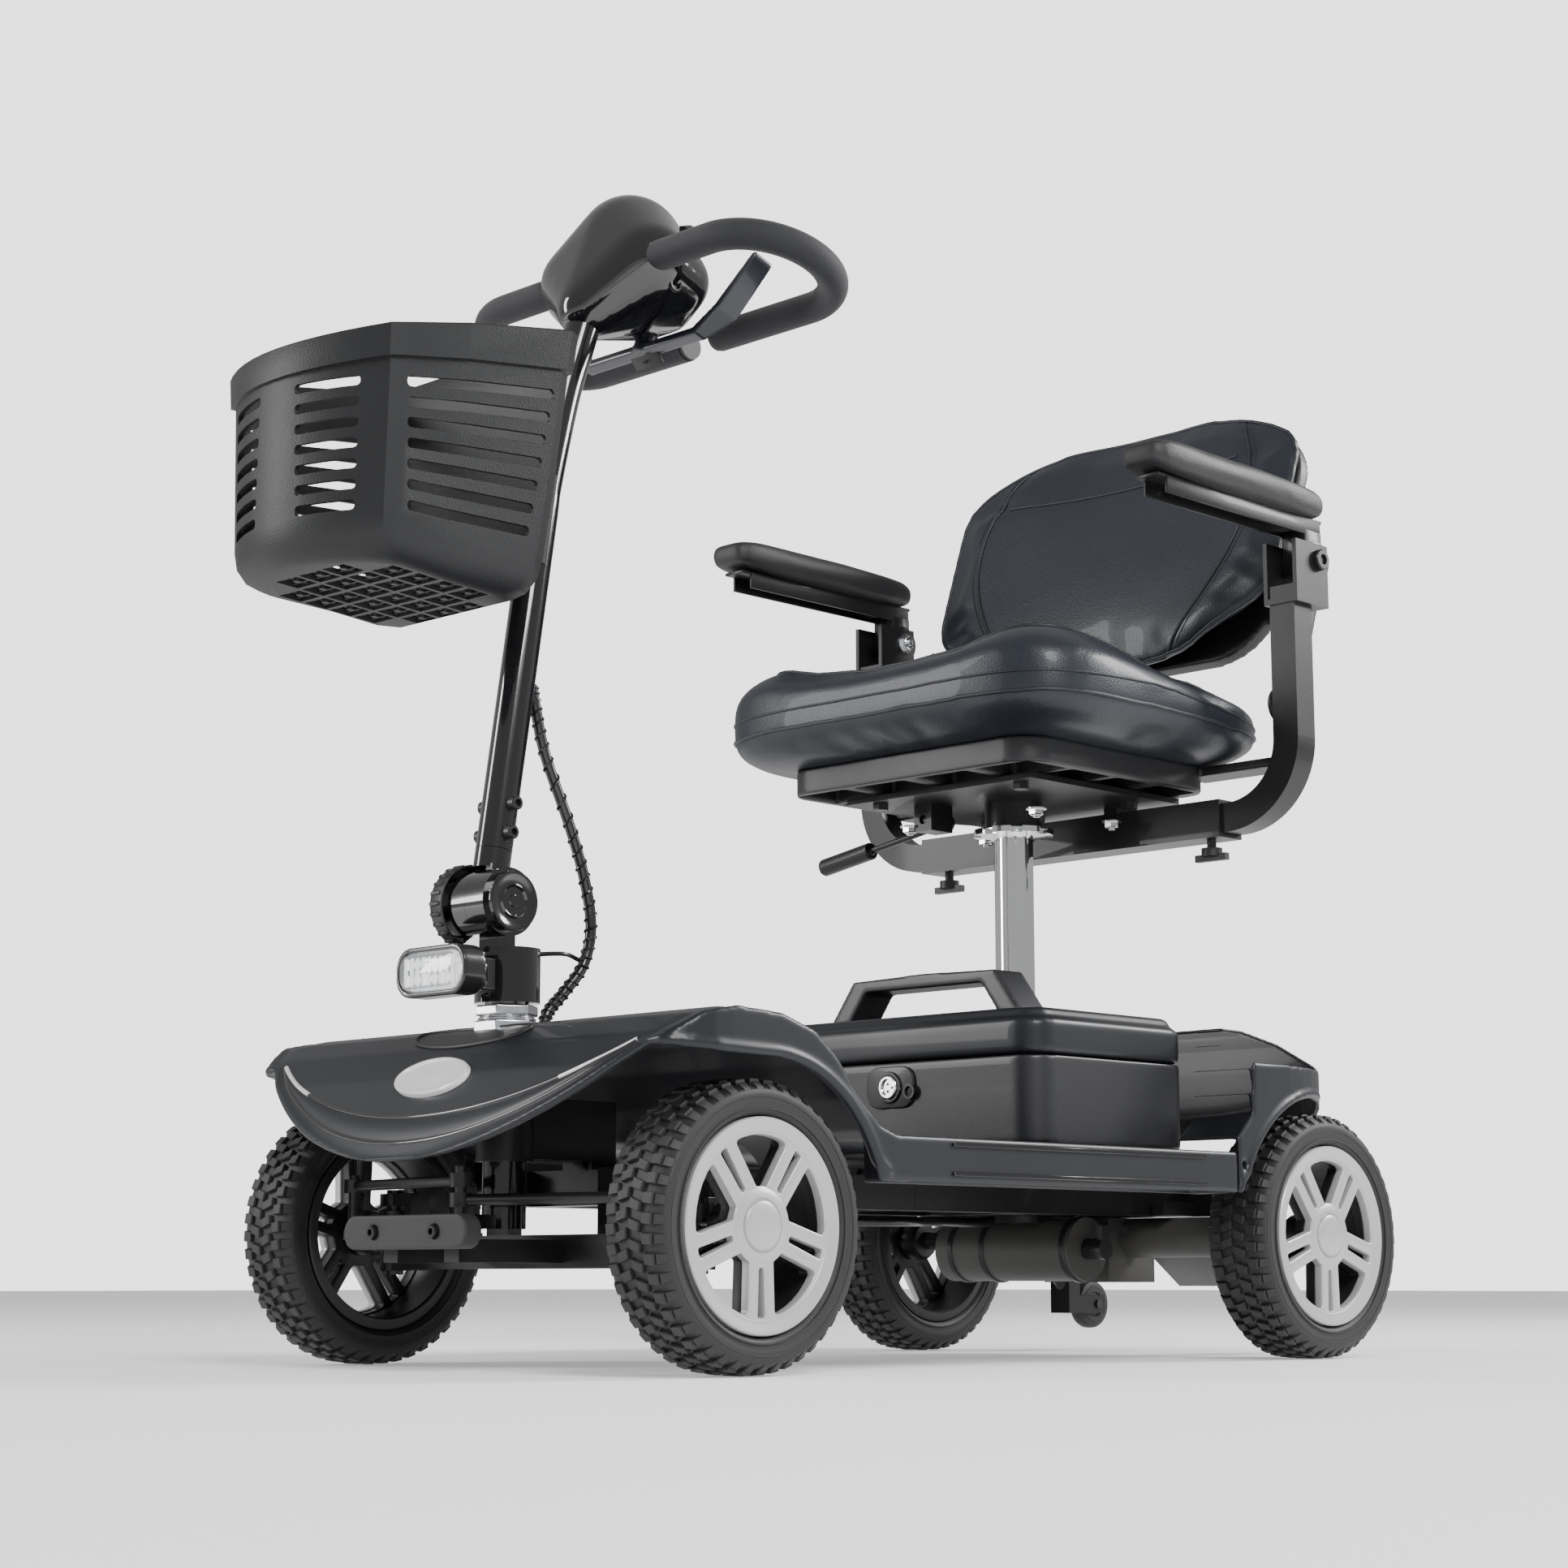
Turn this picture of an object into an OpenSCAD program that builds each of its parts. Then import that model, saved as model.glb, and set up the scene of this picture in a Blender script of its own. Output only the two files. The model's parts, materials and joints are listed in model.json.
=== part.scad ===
// Four-wheel travel mobility scooter. Millimetres, +Z up. The scooter faces -Y and +X is its own left side.
// The origin is on the ground at the middle of the scooter's outline. Modules are written about the middle
// of the wheelbase, and placed() moves each of them by mid_y.

/* [Wheels] */
// Diameter of a solid tyre
tyre_d = 200; // [190:1:202]
// Width of a tyre
tyre_w = 58; // [50:1:60]
// Distance between the front and rear axles
wheelbase = 648; // [640:1:660]
// Distance between the front tyres' middles
front_track = 408; // [404:1:420]
// Distance between the rear tyres' middles
rear_track = 432; // [430:1:444]

/* [Steering column] */
// Backward lean of the column below its bend, in degrees
lean = 8.7; // [8:0.1:9.5]
// Backward lean of the column above its bend, in degrees
head_lean = 18; // [17:0.5:19]
// Outer diameter of the column
column_d = 27; // [26:1:28]
// Diameter of the padded handlebar
grip_d = 24; // [20:1:26]
// Half the width across the handlebar loops, to the middle of the tube
bar_half_w = 175; // [165:1:180]

/* [Seat] */
// Width of the seat cushion
seat_w = 410; // [400:2:414]
// Depth of the seat cushion
seat_depth = 340; // [330:2:344]
// Diameter of the telescoping seat post
post_d = 34; // [32:1:35]
// Distance from the middle to an armrest's tube
arm_x = 238; // [236:1:246]
// Backward lean of the backrest, in degrees
back_lean = 19; // [16:1:20]

/* [Body] */
// Width over the mudguards
body_w = 478; // [470:2:484]
// Wall thickness of the plastic covers
wall = 3; // [2.5:0.5:3.5]
// Half the width of the battery box
box_half_w = 174; // [164:2:174]

/* [Hidden] */
$fn = 64;
mid_y = 53;
tyre_r = tyre_d / 2;
front_y = -wheelbase / 2;
rear_y = wheelbase / 2;
fit = 0.05;      // radial clearance of a running fit
gap = 0.4;       // clearance between neighbouring pieces

// steering
head_y = -357;
stem_r = 16;
head_top = 240;
arm_len = 40;    // pitman arm and knuckle arms, equal and parallel
kingpin_x = 168;
kingpin_r = 7;
rod_z = [120, 134];
fold_y = -378;
fold_z = 333;
joint_x = [-13, 5, 26];    // ends and meeting plane of the fold joint's two barrels
bend_h = 366;    // height of the column's bend above the fold hinge
bar_w = 152;     // height of the handlebar above the bend
bar_v = 6;       // its distance behind the column
bar_tip = 3;     // and its upward tip towards the rider, in degrees
loop_v = 112;    // depth of a handlebar loop

// deck and frame
deck_z = 165;
sill_low = 132;
rail_x = 62;
rail_z = 118;
post_y = 215;
socket_top = 236;
anti_tip_x = 110;
anti_tip_y = 445;
anti_tip_r = 22;
anti_tip_z = 42;

// battery box
box_front = 32;
box_rear = 231;
box_z = 168.5;
case_h = 70;
lid_h = 38;
inlet_x = 22;
inlet_z = 218;

// seat
plate_z = 474;
pan_z = 480;
cushion_z = 503;
seat_front = 22;
seat_rear = seat_front + seat_depth;
receiver_y = 300;
receiver_z = 452;
arm_pivot = [319, 668];
back_pivot = [318, 548];
back_mid = 186;    // height of the backrest's middle above its hinge

// ---- helpers -------------------------------------------------------------------------------

module placed() {
    translate([0, mid_y, 0]) children();
}

// A profile drawn as (y, z), extruded across the scooter and centred on x.
module across(width) {
    rotate([90, 0, 90]) linear_extrude(width, center = true) children();
}

// A round bar between two points.
module rod(from, to, radius) {
    v = to - from;
    len = norm(v);
    translate(from) rotate([0, acos(v.z / len), atan2(v.y, v.x)]) cylinder(r = radius, h = len);
}

// Children drawn about the column: z runs up the column from the fold hinge, y runs rearwards.
module column_frame() {
    translate([0, fold_y, fold_z]) rotate([-lean, 0, 0]) children();
}

// Children drawn about the bend: z runs up the column's upper part, y runs rearwards.
module head_frame() {
    translate([0, fold_y + bend_h * sin(lean), fold_z + bend_h * cos(lean)]) rotate([-head_lean, 0, 0]) children();
}

// A block with rounded vertical edges.
module pad_block(size, radius) {
    linear_extrude(size.z) rounded_rect(size.x, size.y, radius);
}

module rounded_rect(width, depth, radius) {
    square([width - 2 * radius, depth], center = true);
    square([width, depth - 2 * radius], center = true);
    for (sx = [-1, 1], sy = [-1, 1])
        translate([sx * (width / 2 - radius), sy * (depth / 2 - radius)]) circle(r = radius);
}

// Points of a superellipse's front half, from its left end round the nose to its right end.
function nose_points(half_w, len, power, centre_y) = [for (i = [0:32]) let (a = 180 * i / 32)
    [sign(cos(a)) * half_w * pow(abs(cos(a)), 2 / power), centre_y - len * pow(sin(a), 2 / power)]];

// ---- wheels ----------------------------------------------------------------------------------

// Children drawn about an axle: z runs outwards from the middle of the tyre.
module at_wheel(side, track, y) {
    translate([side * track / 2, y, tyre_r]) rotate([0, side * 90, 0]) children();
}

module tyre() {
    half = tyre_w / 2;
    color("#161616") rotate_extrude() polygon([[74.3, -half + 4], [74.3, half - 4], [80, half],
        [90, half], [96, half - 3], [tyre_r, half - 10], [tyre_r, 10 - half], [96, 3 - half],
        [90, -half], [80, -half]]);
}

module spoke_windows(inner, outer, low, high) {
    for (k = [0:4]) rotate(72 * k) translate([0, 0, low]) {
        rotate(36) linear_extrude(high - low) polygon([[inner, -5], [outer, -20], [outer + 3, 0],
            [outer, 20], [inner, 5]]);
        translate([inner + 2, -3, 0]) cube([outer - inner - 6, 6, high - low]);
    }
}

// One moulded wheel: barrel, spoked disc, hub and the outer trim disc with its centre cap.
module rim(bore_r) {
    half = tyre_w / 2;
    color("#b9bab8") difference() {
        union() {
            rotate_extrude() polygon([[62, -half + 3], [74, -half + 3], [74, half - 1], [62, half - 1]]);
            translate([0, 0, half - 17]) cylinder(r = 63, h = 15);
            translate([0, 0, -12]) cylinder(r = 17, h = half + 8);
            translate([0, 0, half - 3]) cylinder(r = 15, h = 5);
        }
        spoke_windows(22, 58, half - 20, half + 4);
        translate([0, 0, -40]) cylinder(r = bore_r, h = 40 + half - 8);
    }
}

module front_rim() {
    rim(8 + fit);
}

// The rear wheel carries its half shaft, which turns in the axle tube.
module rear_rim() {
    rim(8 + fit);
    color("#8d9093") translate([0, 0, -110]) cylinder(r = 8, h = 110 + tyre_w / 2 - 8.5);
}

// ---- steering --------------------------------------------------------------------------------

module knuckle(side) {
    z = side > 0 ? rod_z[0] : rod_z[1];
    color("#2a2a2a") translate([side * kingpin_x, front_y, 0]) difference() {
        union() {
            translate([0, 0, 84]) cylinder(r = 12, h = 32);
            translate([0, 0, 68]) cylinder(r = kingpin_r, h = 64);
            rotate([0, side * 90, 0]) translate([-side * tyre_r, 0, 0])
                cylinder(r = 8, h = front_track / 2 - kingpin_x + tyre_w / 2 - 8.5);
            translate([-6, -arm_len, 94]) cube([12, arm_len, 8]);
            translate([0, -arm_len, 94]) cylinder(r = 7, h = 8);
            translate([0, -arm_len, 100]) cylinder(r = 4, h = z + 8 - 100);
        }
    }
}

// A tie rod from the pitman pin to a knuckle's pin, with an eye at each end.
module tie_rod(side) {
    z = side > 0 ? rod_z[0] : rod_z[1];
    from = [0, head_y - arm_len, z];
    to = [side * kingpin_x, front_y - arm_len, z];
    color("#4a4a4c") difference() {
        union() {
            rod(from, to, 4);
            translate([from.x, from.y, z - 5]) cylinder(r = 8, h = 10);
            translate([to.x, to.y, z - 5]) cylinder(r = 8, h = 10);
        }
        translate([from.x, from.y, z - 6]) cylinder(r = 4 + fit, h = 12);
        translate([to.x, to.y, z - 6]) cylinder(r = 4.6, h = 12);
    }
}

// Shaft, pitman arm, split clamp and the lower half of the fold joint.
module steering_stem() {
    color("#141414") {
        translate([0, head_y, 100]) cylinder(r = stem_r, h = 188);
        difference() {
            translate([-8, head_y - arm_len, 100]) cube([16, arm_len, 10]);
            translate([0, head_y - arm_len, 99]) cylinder(r = 3.9, h = 12);
        }
        translate([0, head_y - arm_len, 100]) cylinder(r = 4, h = 44);
        difference() {
            translate([0, head_y, 262]) cylinder(r = 24, h = 40);
            translate([-2, head_y + 17, 261]) cube([4, 10, 46]);
        }
        difference() {
            union() {
                translate([joint_x[0], fold_y, fold_z]) rotate([0, 90, 0])
                    cylinder(r = 25, h = joint_x[1] - joint_x[0] - 0.2);
                translate([joint_x[0], fold_y - 10, 299]) cube([joint_x[1] - joint_x[0] - 0.4, 34, 22]);
            }
            translate([-30, fold_y, fold_z]) rotate([0, 90, 0]) cylinder(r = 6 + fit, h = 40);
        }
    }
}

// Lock nuts and washers round the shaft, above the head tube.
module head_nuts() {
    color("#d9dbdc") translate([0, head_y, head_top]) difference() {
        union() {
            translate([0, 0, 0.6]) cylinder(r = 25, h = 9, $fn = 6);
            translate([0, 0, 9.6]) cylinder(r = 21, h = 3);
            translate([0, 0, 12.6]) cylinder(r = 24, h = 8, $fn = 6);
        }
        translate([0, 0, -1]) cylinder(r = stem_r + fit, h = 30);
    }
}

lamp_z = 281;
lamp_out = 52;

module headlight_housing() {
    color("#101010") {
        translate([0, head_y - 30.5, lamp_z]) rotate([90, 0, 0]) cylinder(r = 14, h = lamp_out - 30);
        translate([0, head_y - lamp_out, lamp_z]) rotate([90, 0, 0]) difference() {
            pad_block([78, 36, 20], 15);
            translate([0, 0, 12]) pad_block([70, 28, 9], 12);
        }
        difference() {
            translate([-12, head_y - 31, lamp_z - 12]) cube([24, 14, 24]);
            translate([0, head_y, lamp_z - 13]) cylinder(r = 24.05, h = 26);
        }
    }
}

module headlight_lens() {
    color("#e8eef2", 0.6) translate([0, head_y - lamp_out - 12.4, lamp_z]) rotate([90, 0, 0])
        pad_block([69.4, 27.4, 9.6], 12);
}

// Wiring in spiral wrap, from the column down into the shroud.
harness_r = 4.5;
harness_route = [[0, -320, 402], [0, -314, 386], [0, -307, 368], [0, -300, 350], [0, -293, 330],
    [0, -291, 308], [0, -298, 288], [0, -311, 271], [0, -321, 259], [0, -327, 250]];

function between(p, q, t) = p * (1 - t) + q * t;
function route_point(r, s) = let (i = min(floor(s), len(r) - 2)) between(r[i], r[i + 1], s - i);
// A tube swept in the middle plane: ring i lies across the route's direction there.
function tube_ring(r, s, radius) = let (
    p = route_point(r, s),
    d = route_point(r, min(s + 0.4, len(r) - 1)) - route_point(r, max(s - 0.4, 0)),
    n = [0, d.z, -d.y] / norm(d))
    [for (k = [0:7]) p + radius * (cos(45 * k) * [1, 0, 0] + sin(45 * k) * n)];

module cable_harness() {
    rings = 19;
    step = (len(harness_route) - 1) / (rings - 1);
    points = [for (i = [0:rings - 1]) each tube_ring(harness_route, i * step, harness_r)];
    sides = [for (i = [0:rings - 2], k = [0:7])
        [i * 8 + k, i * 8 + (k + 1) % 8, (i + 1) * 8 + (k + 1) % 8, (i + 1) * 8 + k]];
    ends = [[for (k = [7:-1:0]) k], [for (k = [0:7]) (rings - 1) * 8 + k]];
    color("#0e0e0e") polyhedron(points, concat(sides, ends));
}

// ---- frame -----------------------------------------------------------------------------------

module front_frame() {
    color("#151515") {
        difference() {
            translate([0, head_y, 148]) cylinder(r = 21, h = head_top - 148);
            translate([0, head_y, 147]) cylinder(r = stem_r + fit, h = head_top - 146);
        }
        // gusset and neck behind the head tube
        difference() {
            translate([-16, head_y, 150]) cube([32, 70, 44]);
            translate([0, head_y, 147]) cylinder(r = 20.9, h = 60);
        }
        translate([-16, head_y + 69.5, 118]) cube([32, 24, 76]);
        // axle beam with a yoke for each kingpin
        translate([-146, front_y - 13, 72]) cube([292, 26, 24]);
        for (side = [-1, 1]) translate([side * kingpin_x, front_y, 0]) difference() {
            union() {
                for (z = [71, 120]) translate([0, 0, z]) cylinder(r = 12, h = 9);
                for (z = [71, 120]) translate([side > 0 ? -26 : 4, -9, z]) cube([22, 18, 9]);
                translate([side > 0 ? -30 : 22, -9, 71]) cube([8, 18, 58]);
            }
            translate([0, 0, 60]) cylinder(r = kingpin_r + fit, h = 80);
        }
        // rails back to the rear frame, and the beam's links to them
        for (side = [-1, 1]) {
            translate([side * rail_x - 12, -288, rail_z]) cube([24, 290, 26]);
            translate([side * rail_x - 12, front_y + 12.5, 84]) cube([24, 14, 60]);
            translate([side * rail_x - 12, front_y + 12.5, 118]) cube([24, 24.5, 26]);
        }
        translate([-rail_x - 12, -287.5, 118]) cube([2 * rail_x + 24, 24, 26]);
        translate([-rail_x - 12, -24, rail_z]) cube([2 * rail_x + 24, 24, 26]);
        // arms that carry the bumper
        for (side = [-1, 1]) translate([side * 34 - 8, -432, 76]) cube([16, 96, 16]);
    }
}

module rear_frame() {
    color("#151515") {
        for (side = [-1, 1]) {
            translate([side * rail_x - 12, 2.4, rail_z]) cube([24, 345, 26]);
            // arms down to the anti-tip wheels
            translate([side * anti_tip_x, anti_tip_y, 0]) difference() {
                union() {
                    rod([0, -92, 126], [0, -34, 58], 8);
                    translate([-11, -42, 34]) cube([22, 16, 34]);
                    for (x = [-11, 8]) translate([x, -27, anti_tip_z - 8]) cube([3, 37, 16]);
                }
                translate([-20, 0, anti_tip_z]) rotate([0, 90, 0]) cylinder(r = 4, h = 40);
            }
        }
        translate([-128, 346, rail_z]) cube([256, 16, 26]);
        translate([-rail_x - 12, 150, rail_z]) cube([2 * rail_x + 24, 22, 26]);
        // socket that holds the seat post
        difference() {
            union() {
                translate([0, post_y, 112]) cylinder(r = post_d / 2 + 4, h = socket_top - 112);
                translate([-rail_x - 12, post_y - 12, rail_z]) cube([2 * rail_x + 24, 24, 26]);
            }
            translate([0, post_y, 111]) cylinder(r = post_d / 2 + fit, h = 140);
        }
        // bridge over the axle tubes
        for (side = [-1, 1]) translate([side * 84 - 6, rear_y - 24, 118.3]) cube([12, 48, 12]);
    }
}

// Gearbox, motor and the axle tubes that the half shafts turn in.
module transaxle() {
    color("#6b6a66") difference() {
        union() {
            translate([-36, rear_y - 32, 62]) cube([72, 64, 55]);
            translate([-110, 258, 90]) rotate([0, 90, 0]) cylinder(r = 27, h = 150);
            translate([-150, rear_y, tyre_r]) rotate([0, 90, 0]) cylinder(r = 17, h = 300);
        }
        translate([-160, rear_y, tyre_r]) rotate([0, 90, 0]) cylinder(r = 8 + fit, h = 320);
    }
}

// Lever that disengages the motor, on the gearbox's outer side.
module freewheel_lever() {
    color("#2a2a2c") translate([60.5, 258, 90]) {
        rotate([0, -90, 0]) cylinder(r = 9, h = 20);
        translate([-6, -5, 0]) cube([6, 10, 20]);
        translate([-6, 4, 14]) cube([6, 26, 6]);
    }
}

module front_bumper() {
    color("#202020") translate([0, -440, 97]) rotate([90, 0, 0]) difference() {
        translate([0, 0, -7]) pad_block([136, 24, 15], 11.5);
        for (x = [-34, 34]) translate([x, 0, 3]) cylinder(r = 5, h = 10);
    }
}

// ---- body shells -----------------------------------------------------------------------------

nose_y = -360;
nose_len = 101;
nose_power = 2.5;
lip_r = 330;
lip_z = 476;

// Plan of the front cover, grown outwards by t.
module front_plan(t) {
    half = body_w / 2 + t;
    polygon(concat(nose_points(half, nose_len + t, nose_power, nose_y), [[-half, 205], [half, 205]]));
}

// Side view of the cover's top surface: the nose leans back, then the hood drops to the deck.
hood = [[-466, 132], [-461, 147], [-446, 172], [-423, 207], [-404, 228], [-384, 241], [-355, 247],
    [-312, 244], [-280, 234], [-258, 217], [-238, 192], [-214, 171], [-196, deck_z], [210, deck_z]];

module side_view(t) {
    polygon(concat([[-466 + t, 60]], [for (p = hood) [p.x + (p.x < -380 ? t : 0), p.y - t]], [[210, 60]]));
}

module front_solid(t) {
    intersection() {
        translate([0, 0, 50]) linear_extrude(250) front_plan(-t);
        across(600) side_view(t);
    }
}

// Room for a wheel, wide enough for it to steer.
module wheel_well(side, y, inner_x, front, back) {
    translate([side > 0 ? inner_x : -inner_x - 200, 0, 0]) {
        translate([0, y, tyre_r]) rotate([0, 90, 0]) cylinder(r = 113, h = 200);
        translate([0, y - front, -10]) cube([200, front + back, 168]);
    }
}

// Nose, front mudguards, deck and side sills, moulded in one piece.
module deck_shell() {
    color("#26272b") difference() {
        front_solid(0);
        // hollow underneath, with sills left at the sides
        difference() {
            front_solid(wall);
            for (side = [-1, 1]) translate([side * 219 - 22, -190, sill_low]) cube([44, 400, 40]);
        }
        translate([-300, -236, 40]) cube([600, 450, sill_low - 40]);
        for (side = [-1, 1]) {
            translate([side * 219 - 18, -186, sill_low - 10]) cube([36, 380, deck_z - sill_low + 10 - wall]);
            wheel_well(side, front_y, 118, 135, 106);
        }
        // the nose's lower edge rises in a curve towards the mudguards
        difference() {
            translate([-300, -560, 20]) cube([600, 270, 200]);
            translate([0, 0, lip_z]) rotate([90, 0, 0]) cylinder(r = lip_r, h = 1200, center = true);
        }
        // recess and opening round the head tube and the wiring
        translate([0, head_y, 120]) cylinder(r = 27, h = 200);
        translate([-20, head_y, 120]) cube([40, 54, 200]);
        // opening for the seat post
        translate([0, post_y, 120]) cylinder(r = 24, h = 100);
    }
}

// The glossy strip let into the nose, and the blank oval badge above it.
module nose_trim() {
    color("#0b0b0b") intersection() {
        difference() {
            front_solid(-2.4);
            front_solid(-gap);
        }
        translate([-180, -520, 178]) cube([360, 90, 9]);
    }
    color("#c9cbcc") translate([0, -423.8, 208.2]) rotate([53, 0, 0]) linear_extrude(3)
        polygon([for (i = [0:39]) [40 * cos(9 * i), 17 * sin(9 * i)]]);
}

module rear_plan(t) {
    half = body_w / 2 - t;
    intersection() {
        translate([-half, 205.6]) square([2 * half, 260]);
        mirror([0, 1]) polygon(nose_points(half, 182 - t, 2.6, -250));
    }
    translate([-half, 205.6]) square([2 * half, 46]);
}

module rear_side(t) {
    polygon([[200, 60], [200, 171 - t], [226, 196 - t], [232, 268 - t], [262, 267 - t],
        [310, 259 - t], [360, 244 - t], [400, 227 - t], [440, 206 - t], [440, 60]]);
}

module rear_solid(t) {
    intersection() {
        translate([0, 0, 50]) linear_extrude(250) rear_plan(t);
        across(600) rear_side(t);
    }
}

// Rear cover with both mudguards.
module rear_shell() {
    color("#212226") difference() {
        rear_solid(0);
        rear_solid(wall);
        translate([-300, 190, 40]) cube([600, 300, 92]);
        // the battery box stands in front of it
        translate([-178, 190, 120]) cube([356, box_rear - 190 + 2.4, 200]);
        // mudguards stand lower than the middle of the cover
        for (side = [-1, 1]) {
            wheel_well(side, rear_y, 184, 112, 135);
            translate([side > 0 ? 206 : -306, 180, 238]) cube([100, 300, 60]);
        }
        translate([-250, rear_y + 84, 40]) cube([500, 60, 150]);
        translate([0, post_y, 120]) cylinder(r = 25, h = 200);
    }
}

// ---- column ----------------------------------------------------------------------------------

// Upper half of the fold joint, with a spigot inside the column and the hinge pin.
module tiller_sleeve() {
    color("#111111") column_frame() {
        difference() {
            union() {
                translate([joint_x[1], 0, 0]) rotate([0, 90, 0]) cylinder(r = 25, h = joint_x[2] - joint_x[1]);
                translate([0, 0, 26]) cylinder(r = column_d / 2, h = 14.5);
                translate([0, 0, 40]) cylinder(r = column_d / 2 - 2.3, h = 80);
                translate([joint_x[1] + 0.1, -9, 14]) cube([7, 18, 14]);
            }
            translate([-1, 0, 0]) rotate([0, 90, 0]) cylinder(r = 6, h = 40);
        }
        // hinge pin through both halves, with a domed cap
        translate([joint_x[0] - 16, 0, 0]) rotate([0, 90, 0]) cylinder(r = 5.95, h = 41);
        translate([joint_x[2] - 1.5, 0, 0]) rotate([0, 90, 0]) cylinder(r = 22, h = 6);
    }
}

module column_section() {
    difference() {
        circle(r = column_d / 2);
        circle(r = column_d / 2 - 2.2);
    }
}

// The column: two straight tubes with a rounded weld at the bend.
module tiller_tube() {
    color("#0c0c0c") {
        column_frame() translate([0, 0, 41]) linear_extrude(bend_h - 41) column_section();
        head_frame() {
            sphere(r = column_d / 2 + 0.5);
            linear_extrude(140) column_section();
        }
    }
}

// Socket-head screws that clamp the column on the spigot.
module tiller_bolts() {
    color("#1b1b1b") column_frame() for (z = [53, 75], side = [-1, 1])
        translate([side * (column_d / 2 + 0.2), 0, z]) rotate([0, side * 90, 0]) difference() {
            cylinder(r = 5, h = 7);
            translate([0, 0, 4]) cylinder(r = 2.5, h = 4, $fn = 6);
        }
}

bracket_low = 254;

// Plate on the front of the column, with two hooks for the basket.
module basket_bracket() {
    color("#151515") column_frame() {
        translate([-32, -column_d / 2 - 5.2, bracket_low]) cube([64, 5, 70]);
        for (x = [-26, 22]) {
            translate([x, -60, bracket_low + 52]) cube([4, 42, 10]);
            translate([x, -56.5, bracket_low + 8]) cube([4, 38.5, 10]);
        }
    }
}

// Outline of the console head: a dome over a sloping underside.
module console_body() {
    difference() {
        hull() {
            translate([0, 21, 187]) sphere(r = 44, $fn = 32);
            for (side = [-1, 1]) {
                translate([side * 38, 14, 156]) sphere(r = 34, $fn = 28);
                translate([side * 36, 48, 160]) sphere(r = 28, $fn = 24);
            }
            translate([0, -2, 118]) sphere(r = 27, $fn = 28);
        }
        across(300) polygon([[-80, 20], [-80, 92], [10, 92], [60, 128], [86, 175], [130, 175], [130, 20]]);
        translate([0, 0, 40]) cylinder(r = column_d / 2 + 0.3, h = 101);
        for (side = [-1, 1]) bar_tube(side, grip_d / 2 + 0.3);
    }
}

// The seam climbs from the column to the handlebar and runs on to the rear.
module lower_half() {
    across(300) polygon([[-40, 60], [-19, 88], [-8, 130], [2, 160], [20, 174], [130, 186], [130, 40], [-40, 40]]);
}

module console_lower() {
    color("#0a0a0a") head_frame() difference() {
        intersection() {
            console_body();
            lower_half();
        }
        translate([0, throttle_v, 110]) cylinder(r = 9, h = 34);
        dash_pockets();
    }
}

module console_upper() {
    color("#0a0a0a") head_frame() difference() {
        console_body();
        lower_half();
        dash_pockets();
    }
}

// Children drawn on the sloping dash: z points out of it, towards the rider.
module dash_frame() {
    translate([0, 51, 204]) rotate([-48, 0, 0]) children();
}

// Pockets for the controls that face the rider.
module dash_pockets() {
    dash_frame() {
        translate([0, 6, -12]) cylinder(r = 15, h = 40);
        translate([30, -2, -12]) cylinder(r = 8, h = 40);
        translate([-30, -2, -12]) cylinder(r = 9, h = 40);
    }
}

module speed_dial() {
    color("#2b2b2b") head_frame() dash_frame() translate([0, 6, -8]) {
        cylinder(r = 14, h = 24);
        translate([-1.5, 3, 23]) cube([3, 10, 3]);
    }
}

module key() {
    color("#c8a94a") head_frame() dash_frame() translate([30, -2, -8]) {
        cylinder(r = 7, h = 16);
        translate([-1.5, -6, 15.5]) cube([3, 12, 18]);
    }
}

module horn_button() {
    color("#c9b21c") head_frame() dash_frame() translate([-30, -2, -7]) cylinder(r = 8, h = 20);
}

loop_r = loop_v / 2;

// One side of the handlebar: out from the console, round and back in towards the rider.
module bar_tube(side, radius) {
    straight = bar_half_w - loop_r;
    translate([0, bar_v, bar_w]) rotate([bar_tip, 0, 0]) {
        translate([side * 30, 0, 0]) rotate([0, side * 90, 0]) cylinder(r = radius, h = straight - 30);
        translate([side * straight, loop_r, 0]) rotate(side > 0 ? -90 : 90)
            rotate_extrude(angle = 180) translate([loop_r, 0]) circle(r = radius);
        translate([side * 19, loop_v, 0]) rotate([0, side * 90, 0]) cylinder(r = radius, h = straight - 19);
    }
}

module handlebar() {
    color("#1d1d1f") head_frame() for (side = [-1, 1]) bar_tube(side, grip_d / 2);
}

module handlebar_caps() {
    color("#101010") head_frame() translate([0, bar_v, bar_w]) rotate([bar_tip, 0, 0]) for (side = [-1, 1])
        translate([side * 15, loop_v, 0]) rotate([0, side * 90, 0]) cylinder(r = grip_d / 2 - 1, h = 3.9);
}

// Knurled hand wheel that clamps the fold joint.
module fold_knob() {
    color("#0f0f0f") translate([joint_x[0] - 1.2, fold_y, fold_z]) rotate([0, -90, 0]) difference() {
        union() {
            cylinder(r = 30, h = 15);
            translate([0, 0, 15]) cylinder(r = 20, h = 5);
        }
        for (k = [0:15]) rotate(22.5 * k) translate([32, 0, -1]) cylinder(r = 3.5, h = 17, $fn = 16);
        translate([0, 0, -1]) cylinder(r = 6, h = 17);
    }
}

throttle_v = 62;

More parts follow.
